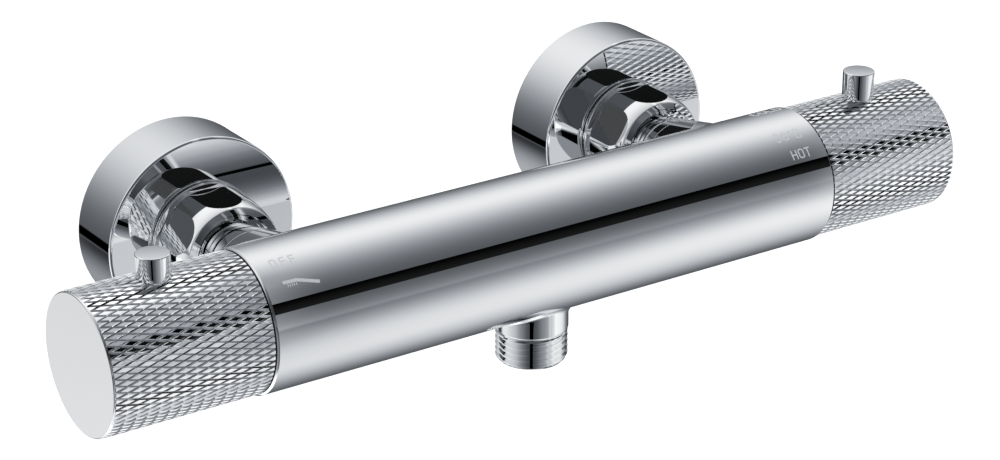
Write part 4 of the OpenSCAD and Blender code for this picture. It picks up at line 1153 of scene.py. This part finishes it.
class VALVE_OT_end_caps(bpy.types.Operator):
    """Makes the smooth discs that close the handles"""
    bl_idname = "valve.end_caps"
    bl_label = "End caps"

    def execute(self, context):
        sizes = context.scene.valve_sizes
        spigot_r = 17.65 * MM
        back = SHELL_END
        inside = CAP_END - 1.4 * MM
        inner_r, spigot_end = spigot_r - 2 * MM, back - 6.2 * MM
        profile = [(0, inside), (inner_r, inside), (inner_r, spigot_end), (spigot_r, spigot_end),
                   (spigot_r, back), (CAP_R, back), (CAP_R, CAP_END), (0, CAP_END)]
        curves = [0, 0, 0, 0.2 * MM, 0, 0, 0.3 * MM, 0]
        for side, name in ((-1, "flow"), (1, "temperature")):
            cap = turned(name + "_cap", [(r, side * s) for r, s in rounded(profile, curves, 6)],
                         "X", (0, BAR_Y, 0), sizes.segments)
            polish(cap)
            finish_piece(cap, "polished_chrome", name + "_handle",
                         [name + "_end_cap"])
        return {"FINISHED"}


# ---------------------------------------------------------------- markings

def arc(cx, cy, rx, ry, start, end, steps=10):
    """Points along part of an ellipse, angles in degrees."""
    return [(cx + rx * math.cos(math.radians(start + (end - start) * k / steps)),
             cy + ry * math.sin(math.radians(start + (end - start) * k / steps)))
            for k in range(steps + 1)]


def squared_ring(w, h, r):
    """Outline of a rounded rectangle w wide and h high."""
    return (arc(w - r, r, r, r, -90, 0, 5) + arc(w - r, h - r, r, r, 0, 90, 5)
            + arc(r, h - r, r, r, 90, 180, 5) + arc(r, r, r, r, 180, 270, 5))


# Letters as lines, 1 high: a list of (points, closed), with the letter's width
LETTERS = {
    "O": (0.62, [(squared_ring(0.62, 1, 0.2), True)]),
    "F": (0.52, [([(0, 0), (0, 1), (0.52, 1)], False), ([(0, 0.5), (0.44, 0.5)], False)]),
    "H": (0.62, [([(0, 0), (0, 1)], False), ([(0.62, 0), (0.62, 1)], False),
                 ([(0, 0.5), (0.62, 0.5)], False)]),
    "T": (0.6, [([(0.3, 0), (0.3, 1)], False), ([(0, 1), (0.6, 1)], False)]),
    "C": (0.58, [(arc(0.38, 0.2, 0.2, 0.2, -5, -90, 5) + arc(0.2, 0.2, 0.2, 0.2, -90, -180, 5)
                  + arc(0.2, 0.8, 0.2, 0.2, 180, 90, 5) + arc(0.38, 0.8, 0.2, 0.2, 90, 5, 5),
                  False)]),
    "L": (0.5, [([(0, 1), (0, 0), (0.5, 0)], False)]),
    "D": (0.62, [([(0, 0), (0.34, 0)] + arc(0.34, 0.28, 0.28, 0.28, -90, 0, 6)
                  + arc(0.34, 0.72, 0.28, 0.28, 0, 90, 6) + [(0.34, 1), (0, 1)], True)]),
    "3": (0.5, [(arc(0.26, 0.76, 0.24, 0.24, 160, -70, 12)
                 + arc(0.24, 0.27, 0.26, 0.27, 70, -160, 14), False)]),
    "8": (0.52, [(arc(0.26, 0.76, 0.22, 0.24, 0, 360, 18)[:-1], True),
                 (arc(0.26, 0.27, 0.26, 0.27, 0, 360, 18)[:-1], True)]),
    "°": (0.24, [(arc(0.12, 0.88, 0.11, 0.12, 0, 360, 12)[:-1], True)]),
}


def in_short_steps(points, closed, longest):
    """Adds points to a line so that it can follow the bar's curve."""
    ends = points[1:] + (points[:1] if closed else [])
    result = []
    for a, b in zip(points, ends):
        parts = max(1, math.ceil(math.dist(a, b) / longest))
        result += [(a[0] + (b[0] - a[0]) * k / parts, a[1] + (b[1] - a[1]) * k / parts)
                   for k in range(parts)]
    return result if closed else result + [points[-1]]


# Longest straight step of a marking's line, so that it lies on the bar's curve
MARKING_STEP = 0.35 * MM
# How far a marking reaches into the bar and stands above it
MARKING_SUNK, MARKING_PROUD = 0.01 * MM, 0.02 * MM
# Words on the bar: text, height, gap between letters, x of their left end, degrees of their foot
WORDS = (("OFF", 2.5 * MM, 0.6, -89.8 * MM, 27.5), ("HOT", 2.6 * MM, 0.34, 82.4 * MM, 51.8),
         ("38°C", 3.2 * MM, 0.34, 79.8 * MM, 34), ("COLD", 3.1 * MM, 0.34, 82.6 * MM, -8))
# Left end of the shower sign and the degrees of its foot
SIGN_PLACE = (-88.8 * MM, 48.7)


def ribbon(points, closed, width):
    """Flat band of even width along a line, as points and faces."""
    points = in_short_steps(points, closed, MARKING_STEP)
    n = len(points)
    verts = []
    for i in range(n):
        here = Vector(points[i])
        before = Vector(points[i - 1]) if closed or i else None
        after = Vector(points[(i + 1) % n]) if closed or i < n - 1 else None
        a = (here - before).normalized() if before is not None else (after - here).normalized()
        b = (after - here).normalized() if after is not None else a
        across = Vector((-(a.y + b.y), a.x + b.x)).normalized()
        reach = width / 2 / max(across.dot(Vector((-a.y, a.x))), 0.5)
        tail = Vector((0, 0))
        if before is None:
            tail = -a * width / 2
        if after is None:
            tail = b * width / 2
        verts += [here + tail + across * reach, here + tail - across * reach]
    faces = [[2 * i, 2 * i + 1, 2 * (i + 1) + 1, 2 * (i + 1)] for i in range(n - 1)]
    if closed:
        faces.append([2 * n - 2, 2 * n - 1, 1, 0])
    return verts, faces


def lay_on_bar(name, bands, x, angle):
    """Wraps flat bands round the bar, standing a hair above it, with x and up from a corner."""
    verts = []
    faces = []
    low = BAR_R - MARKING_SUNK
    high = BAR_R + MARKING_PROUD
    for points, quads in bands:
        base = len(verts)
        n = len(points)
        for radius in (high, low):
            for px, py in points:
                verts.append(point_on_bar(radius, x + px, angle - py / BAR_R))
        faces += [[base + c for c in quad] for quad in quads]
        faces += [[base + n + c for c in reversed(quad)] for quad in quads]
        edges = {}
        for quad in quads:
            for a, b in zip(quad, quad[1:] + quad[:1]):
                edges[(a, b)] = edges.get((b, a), 0) == 0
                if (b, a) in edges:
                    edges.pop((a, b))
                    edges.pop((b, a))
        faces += [[base + b, base + a, base + n + a, base + n + b] for a, b in edges]
    return new_piece(name, verts, faces)


def written(word, height, spacing, width):
    """Bands of a word with its lower left corner at the origin."""
    bands = []
    at = 0
    for letter in word:
        wide, strokes = LETTERS[letter]
        for points, closed in strokes:
            line = [((at + px) * height, py * height) for px, py in points]
            bands.append(ribbon(line, closed, width))
        at += wide + spacing
    return bands


def shower_sign():
    """Bands of a hand shower with its spray, sizes in millimetres."""
    lines = [([(0, 2.3), (3.7, 2.2), (9.5, 0.3)], 0.95 * MM)]
    lines += [([(0.75 + 0.62 * k, 1.45), (0.6 + 0.66 * k, 0.85)], 0.2 * MM) for k in range(5)]
    return [ribbon([(px * MM, py * MM) for px, py in points], False, wide)
            for points, wide in lines]


class VALVE_OT_markings(bpy.types.Operator):
    """Lays the plain words and the shower sign on the bar beside the handles"""
    bl_idname = "valve.markings"
    bl_label = "Markings"

    def execute(self, context):
        line = context.scene.valve_sizes.marking_width
        made = [lay_on_bar("word", written(word, height, gap, line), x, math.radians(foot))
                for word, height, gap, x, foot in WORDS]
        made.append(lay_on_bar("sign", shower_sign(), SIGN_PLACE[0], math.radians(SIGN_PLACE[1])))
        markings = joined(made, "markings")
        finish_piece(markings, "etched_marking", "valve")
        return {"FINISHED"}


# ---------------------------------------------------------------- studio

# Strips of light that run along the bar: angle from straight up to the front, width, level
STRIPS = ((-30.4, 69.6, 0.98), (124.2, 51.8, 0.83), (163.5, 62.2, 0.59))
# Black card between them: distance from the bar, angle from straight up to the front
CARD = (0.5, 58.4)
# Left and right edge of the card, each with the half angle that it covers there
CARD_HALF = ((-0.5, 6.3), (0.9, 10.2))
# Grey that the card takes on towards its foot and towards its left, as place and level
CARD_FOOT, CARD_LEFT, CARD_GREYS = (0.34, 0.19), (0.03, -0.08), (0.024, 0.15)
# Lamp beside the left end cap: place, aim, width and the level that the cap mirrors
SIDE_LAMP, SIDE_LAMP_AIM = (-0.2014, 0.05, -0.0668), (-0.1428, BAR_Y, 0)
SIDE_LAMP_WIDTH, SIDE_LAMP_LEVEL = 0.07, 0.78
# Camera as it was solved from the photograph, with its focal length and sensor in millimetres
CAMERA_PLACE, CAMERA_AIM = (-0.42906, -0.69777, 0.32659), (-0.01093, -0.0770, 0.00680)
CAMERA_LENS, CAMERA_SENSOR = 103.81, 36
# Floor: half its width, its height, roughness and glow
FLOOR_HALF, FLOOR_HEIGHT, FLOOR_ROUGHNESS, FLOOR_GLOW = 6.0, -0.55, 0.9, 0.7
# Where the studio's lights begin and where they are full, by the direction that they come from:
# x to the right, y away from the photographer, z up, each from -1 to 1. Angles round the bar are
# in degrees from straight up to the front.
LEFT_HANDLE = ((0.3, 0.37), (0.434, 0.42))
RIGHT_HANDLE = ((0.60, 0.625), (0.74, 0.69))
HANDLE_ABOVE = ((-55, -42), (15, -5))
HANDLE_BELOW = ((75, 98), (175, 140))
# Levels above and below the left handle's grey middle, then the right one's
HANDLE_LEVELS = (0.32, 0.26, 0.1, 0.12)
LEFT_END = ((0.34, 0.37), (0.46, 0.42))
# Angles and level of the light that the handles get in the strips' gap
END_ANGLES, END_LEVEL = ((5, 25), (114, 96)), 0.28
# Part of the studio at the photographer's left shoulder, as ranges of x, y and z, and its dimming
SHOULDER, SHOULDER_SHADE = ((-0.1, -0.4), (0, -0.2), (-0.05, 0.03)), 0.4
# Level direction of the photographer's dark side, and the angles from it in degrees
DARK_SIDE = (-0.559, -0.829)
DARK_GREYS, DARK_GREY_LEVELS, DARK_BASE = ((8, 50), (40, 90)), (0.3, 0.61), 0.09
DARK_EDGE = (5.2, 6.8)
BELOW_VALVE = (0.03, -0.05)
# Fill at the left of the dark side: angle from it, x, y and level
FILL_ANGLE, FILL_X, FILL_Y, FILL_LEVEL = (30, 90), (0.05, -0.05), (0.76, 0.62), 0.85
# Black line at the wall's foot, which is left out between the two places of x
LINE_X = ((-0.34, -0.38), (0.2, 0.3))
LINE_Y, LINE_Z = (0.7, 0.75), ((-0.365, -0.35), (-0.265, -0.28))
# Height at which the floor and the light behind the valve begin, just under the black line
UNDER_LINE = (-0.36, -0.38)
# Floor behind the valve: ranges of x and y, its brightening downwards, its level and its share
FLOOR_X, FLOOR_Y = (0.42, 0.3), ((0.66, 0.76), (0.86, 0.83))
FLOOR_FALL, FLOOR_LEVEL, FLOOR_SHARE = (-0.38, -0.68), 0.47, 0.6
# Soft glow above the wall: direction, angles from it in degrees and level
GLOW_TO, GLOW_WIDTH, GLOW_LEVEL = (0, 0.8, 0.6), (50, 0), 0.2
# Light from below and light low behind the valve, both only up to a place of x
LOW_X, LOW_Z, LOW_LEVEL = (0.36, 0.28), (-0.75, -0.88), 0.75
BEHIND_Y, BEHIND_LEVEL = (0.83, 0.86), 0.6
# Colour of the studio where it is dark and where it is bright
DARK_TINT, BRIGHT_TINT = (0.9, 0.96, 1.06, 1), (1, 1, 1, 1)


def fade(tree, value, low, high):
    """Smooth step from 0 at low to 1 at high, which may be the smaller number."""
    node = tree.nodes.new("ShaderNodeMapRange")
    node.interpolation_type = "SMOOTHSTEP"
    node.inputs["From Min"].default_value = low
    node.inputs["From Max"].default_value = high
    tree.links.new(value, node.inputs["Value"])
    return node.outputs["Result"]


def along(tree, place, direction):
    """How far a place lies along a direction."""
    total = None
    for value, share in zip(place, direction):
        part = calculate(tree, "MULTIPLY", value, share)
        total = part if total is None else calculate(tree, "ADD", total, part)
    return total


def product(tree, *values):
    total = values[0]
    for value in values[1:]:
        total = calculate(tree, "MULTIPLY", total, value)
    return total


def degrees_from(tree, cosine):
    return calculate(tree, "MULTIPLY", calculate(tree, "ARCCOSINE", cosine), 180 / math.pi)


def window(tree, value, ranges):
    """Soft-edged band between two ranges, 1 inside it and 0 outside."""
    return product(tree, *(fade(tree, value, *pair) for pair in ranges))


def rest_of(tree, share):
    """What a share leaves of 1."""
    return calculate(tree, "SUBTRACT", 1.0, share)


def handle_light(tree, x, angle):
    """Extra light above and below the grey middle of the handles, stronger at the left."""
    left = window(tree, x, LEFT_HANDLE)
    right = window(tree, x, RIGHT_HANDLE)
    above = window(tree, angle, HANDLE_ABOVE)
    below = window(tree, angle, HANDLE_BELOW)
    return along(tree, (product(tree, left, above), product(tree, left, below),
                        product(tree, right, above), product(tree, right, below)),
                 HANDLE_LEVELS)


def strip_light(tree, x, y, z):
    """Soft strips along the bar, with more at the handles and less at the left shoulder."""
    turn = calculate(tree, "ARCTAN2", calculate(tree, "MULTIPLY", y, -1.0), z)
    angle = calculate(tree, "MULTIPLY", turn, 180 / math.pi)
    total = None
    for centre, width, level in STRIPS:
        away = calculate(tree, "WRAP", calculate(tree, "SUBTRACT", angle, centre), 180.0, -180.0)
        share = calculate(tree, "POWER", calculate(tree, "DIVIDE", away, width), 2.0)
        fall = calculate(tree, "POWER", calculate(tree, "ADD", share, 1.0), -3.0)
        light = calculate(tree, "MULTIPLY", fall, level)
        total = light if total is None else calculate(tree, "ADD", total, light)
    ends = calculate(tree, "MAXIMUM", window(tree, x, LEFT_END), window(tree, x, RIGHT_HANDLE))
    more = product(tree, ends, *(fade(tree, angle, *pair) for pair in END_ANGLES), END_LEVEL)
    total = along(tree, (total, more, handle_light(tree, x, angle)), (1, 1, 1))
    front = product(tree, *(fade(tree, value, *pair) for value, pair in zip((x, y, z), SHOULDER)))
    return product(tree, total, rest_of(tree, calculate(tree, "MULTIPLY", front, SHOULDER_SHADE)))


def dark_side(tree, x, y, z):
    """Below the valve's level: share left towards the photographer, and a fill at the left."""
    level = calculate(tree, "SQRT", along(tree, (calculate(tree, "MULTIPLY", x, x),
                                                 calculate(tree, "MULTIPLY", y, y)), (1, 1)))
    offset = degrees_from(tree, calculate(tree, "DIVIDE", along(tree, (x, y), DARK_SIDE), level))
    grey = along(tree, [fade(tree, offset, *pair) for pair in DARK_GREYS], DARK_GREY_LEVELS)
    share = product(tree, calculate(tree, "ADD", grey, DARK_BASE),
                    fade(tree, offset, *DARK_EDGE))
    below = fade(tree, z, *BELOW_VALVE)
    left = rest_of(tree, product(tree, below, rest_of(tree, share)))
    fill = product(tree, below, fade(tree, offset, *FILL_ANGLE), fade(tree, x, *FILL_X),
                   fade(tree, y, *FILL_Y), FILL_LEVEL)
    return left, fill


def wall_foot(tree, x, y, z):
    """Behind the valve: share left by the wall's black line, share and level of the floor."""
    sides = calculate(tree, "MAXIMUM", *(fade(tree, x, *pair) for pair in LINE_X))
    line = product(tree, sides, fade(tree, y, *LINE_Y), *(fade(tree, z, *pair) for pair in LINE_Z))
    share = product(tree, fade(tree, x, *FLOOR_X), *(fade(tree, y, *pair) for pair in FLOOR_Y),
                    fade(tree, z, *UNDER_LINE))
    level = calculate(tree, "MULTIPLY", fade(tree, z, *FLOOR_FALL), FLOOR_LEVEL)
    return rest_of(tree, line), share, level


def make_studio_light(world):
    """Strips of light along the bar, a wall and a floor behind it and a dark side."""
    world.use_nodes = True
    tree = world.node_tree
    tree.nodes.clear()
    where = tree.nodes.new("ShaderNodeTexCoord").outputs["Generated"]
    parts = tree.nodes.new("ShaderNodeSeparateXYZ")
    tree.links.new(where, parts.inputs[0])
    x, y, z = parts.outputs
    left, fill = dark_side(tree, x, y, z)
    above, floor, level = wall_foot(tree, x, y, z)
    glow = fade(tree, degrees_from(tree, along(tree, (x, y, z), GLOW_TO)), *GLOW_WIDTH)
    studio = product(tree, strip_light(tree, x, y, z), left)
    under = product(tree, fade(tree, x, *LOW_X), fade(tree, z, *LOW_Z))
    behind = product(tree, fade(tree, x, *LOW_X), fade(tree, y, *BEHIND_Y),
                     fade(tree, z, *UNDER_LINE))
    studio = along(tree, (studio, fill, glow, under, behind),
                   (1, 1, GLOW_LEVEL, LOW_LEVEL, BEHIND_LEVEL))
    rest = rest_of(tree, calculate(tree, "MULTIPLY", floor, FLOOR_SHARE))
    studio = along(tree, (product(tree, studio, rest), product(tree, floor, level)), (1, 1))
    studio = calculate(tree, "MULTIPLY", studio, above)
    tint = tree.nodes.new("ShaderNodeMix")
    tint.data_type = "RGBA"
    tint.inputs["A"].default_value = DARK_TINT
    tint.inputs["B"].default_value = BRIGHT_TINT
    tree.links.new(calculate(tree, "MINIMUM", studio, 1.0), tint.inputs["Factor"])
    colour = tree.nodes.new("ShaderNodeVectorMath")
    colour.operation = "SCALE"
    tree.links.new(tint.outputs["Result"], colour.inputs[0])
    tree.links.new(studio, colour.inputs["Scale"])
    light = tree.nodes.new("ShaderNodeBackground")
    tree.links.new(colour.outputs[0], light.inputs["Color"])
    white = tree.nodes.new("ShaderNodeBackground")
    white.inputs["Color"].default_value = (1, 1, 1, 1)
    path = tree.nodes.new("ShaderNodeLightPath")
    seen = calculate(tree, "MAXIMUM", path.outputs["Is Camera Ray"],
                     path.outputs["Is Transmission Ray"])
    mix = tree.nodes.new("ShaderNodeMixShader")
    tree.links.new(seen, mix.inputs[0])
    tree.links.new(light.outputs[0], mix.inputs[1])
    tree.links.new(white.outputs[0], mix.inputs[2])
    out = tree.nodes.new("ShaderNodeOutputWorld")
    tree.links.new(mix.outputs[0], out.inputs["Surface"])


def make_side_lamp(place, aim, width, level):
    """Small soft lamp beside the valve, which the flat end cap mirrors."""
    lamp = bpy.data.lights.new("side_lamp", "AREA")
    lamp.shape = "SQUARE"
    lamp.size = width
    lamp.energy = level * math.pi * width ** 2
    holder = bpy.data.objects.new("side_lamp", lamp)
    holder.location = place
    holder.rotation_euler = (Vector(aim) - Vector(place)).to_track_quat("-Z", "Y").to_euler()
    holder.visible_camera = False
    bpy.context.scene.collection.objects.link(holder)


def make_card():
    """Black card above the camera's line of sight, which only shiny pieces mirror."""
    away, angle = CARD[0], math.radians(CARD[1])
    verts = []
    for x, half in CARD_HALF:
        reach = away / math.cos(math.radians(half))
        for a in (angle - math.radians(half), angle + math.radians(half)):
            verts.append((x, BAR_Y - reach * math.sin(a), reach * math.cos(a)))
    card = new_piece("black_card", verts, [[0, 1, 3, 2]])
    finish = bpy.data.materials.new("black_card")
    finish.use_nodes = True
    tree = finish.node_tree
    shader = tree.nodes["Principled BSDF"]
    shader.inputs["Roughness"].default_value = 1
    shader.inputs["Specular IOR Level"].default_value = 0
    parts = tree.nodes.new("ShaderNodeSeparateXYZ")
    tree.links.new(tree.nodes.new("ShaderNodeTexCoord").outputs["Object"], parts.inputs[0])
    grey = along(tree, (fade(tree, parts.outputs["Z"], *CARD_FOOT),
                        fade(tree, parts.outputs["X"], *CARD_LEFT)), CARD_GREYS)
    tree.links.new(grey, shader.inputs["Base Color"])
    card.data.materials.append(finish)
    card.visible_camera = False
    card.visible_diffuse = False
    card.visible_shadow = False


def make_floor(colour):
    """Pale floor well below the valve, which keeps the valve's soft shadow."""
    corners = ((-1, -1), (1, -1), (1, 1), (-1, 1))
    floor = new_piece("floor", [(x * FLOOR_HALF, y * FLOOR_HALF, FLOOR_HEIGHT)
                                for x, y in corners], [[0, 1, 2, 3]])
    finish = bpy.data.materials.new("studio_floor")
    finish.use_nodes = True
    tree = finish.node_tree
    shader = tree.nodes["Principled BSDF"]
    shader.inputs["Base Color"].default_value = (*colour, 1)
    shader.inputs["Roughness"].default_value = FLOOR_ROUGHNESS
    shader.inputs["Emission Color"].default_value = (1, 1, 1, 1)
    shader.inputs["Emission Strength"].default_value = FLOOR_GLOW
    floor.data.materials.append(finish)
    floor.visible_glossy = False
    floor.visible_diffuse = False


class VALVE_OT_stage(bpy.types.Operator):
    """Sets up the studio: camera, light, floor and colour view"""
    bl_idname = "valve.stage"
    bl_label = "Studio"

    def execute(self, context):
        scene = context.scene
        make_floor(tuple(scene.valve_colours.floor))
        make_card()
        world = bpy.data.worlds.new("studio")
        scene.world = world
        make_studio_light(world)
        make_side_lamp(SIDE_LAMP, SIDE_LAMP_AIM, SIDE_LAMP_WIDTH, SIDE_LAMP_LEVEL)
        lens = bpy.data.cameras.new("camera")
        lens.lens = CAMERA_LENS
        lens.sensor_width = CAMERA_SENSOR
        camera = bpy.data.objects.new("camera", lens)
        place = Vector(CAMERA_PLACE)
        camera.location = place
        camera.rotation_euler = (Vector(CAMERA_AIM) - place).to_track_quat("-Z", "Y").to_euler()
        scene.collection.objects.link(camera)
        scene.camera = camera
        scene.view_settings.view_transform = "Standard"
        return {"FINISHED"}


# ---------------------------------------------------------------- add-on

OPERATORS = (VALVE_OT_stage, VALVE_OT_finishes, VALVE_OT_bar, VALVE_OT_outlet, VALVE_OT_nuts,
             VALVE_OT_tailpieces, VALVE_OT_flanges, VALVE_OT_unions, VALVE_OT_handle_shells,
             VALVE_OT_pins, VALVE_OT_end_caps, VALVE_OT_springs, VALVE_OT_markings)
GROUPS = (ValveSizes, KnurlSizes, ThreadSizes, FinishColours)


class VALVE_PT_panel(bpy.types.Panel):
    """Lists the steps that build the valve"""
    bl_idname = "VALVE_PT_panel"
    bl_label = "Shower valve"
    bl_space_type = "VIEW_3D"
    bl_region_type = "UI"
    bl_category = "Shower valve"

    def draw(self, context):
        scene = context.scene
        for group in (scene.valve_sizes, scene.valve_knurl, scene.valve_threads,
                      scene.valve_colours):
            box = self.layout.box()
            for key in group.__annotations__:
                box.prop(group, key)
        for step in OPERATORS:
            self.layout.operator(step.bl_idname)


def register():
    for kind in GROUPS + OPERATORS + (VALVE_PT_panel,):
        bpy.utils.register_class(kind)
    scene = bpy.types.Scene
    scene.valve_sizes = bpy.props.PointerProperty(type=ValveSizes)
    scene.valve_knurl = bpy.props.PointerProperty(type=KnurlSizes)
    scene.valve_threads = bpy.props.PointerProperty(type=ThreadSizes)
    scene.valve_colours = bpy.props.PointerProperty(type=FinishColours)


def unregister():
    for name in ("valve_sizes", "valve_knurl", "valve_threads", "valve_colours"):
        delattr(bpy.types.Scene, name)
    for kind in reversed(GROUPS + OPERATORS + (VALVE_PT_panel,)):
        bpy.utils.unregister_class(kind)


def main():
    register()
    for step in OPERATORS:
        group, name = step.bl_idname.split(".")
        getattr(getattr(bpy.ops, group), name)()


if __name__ == "__main__":
    main()
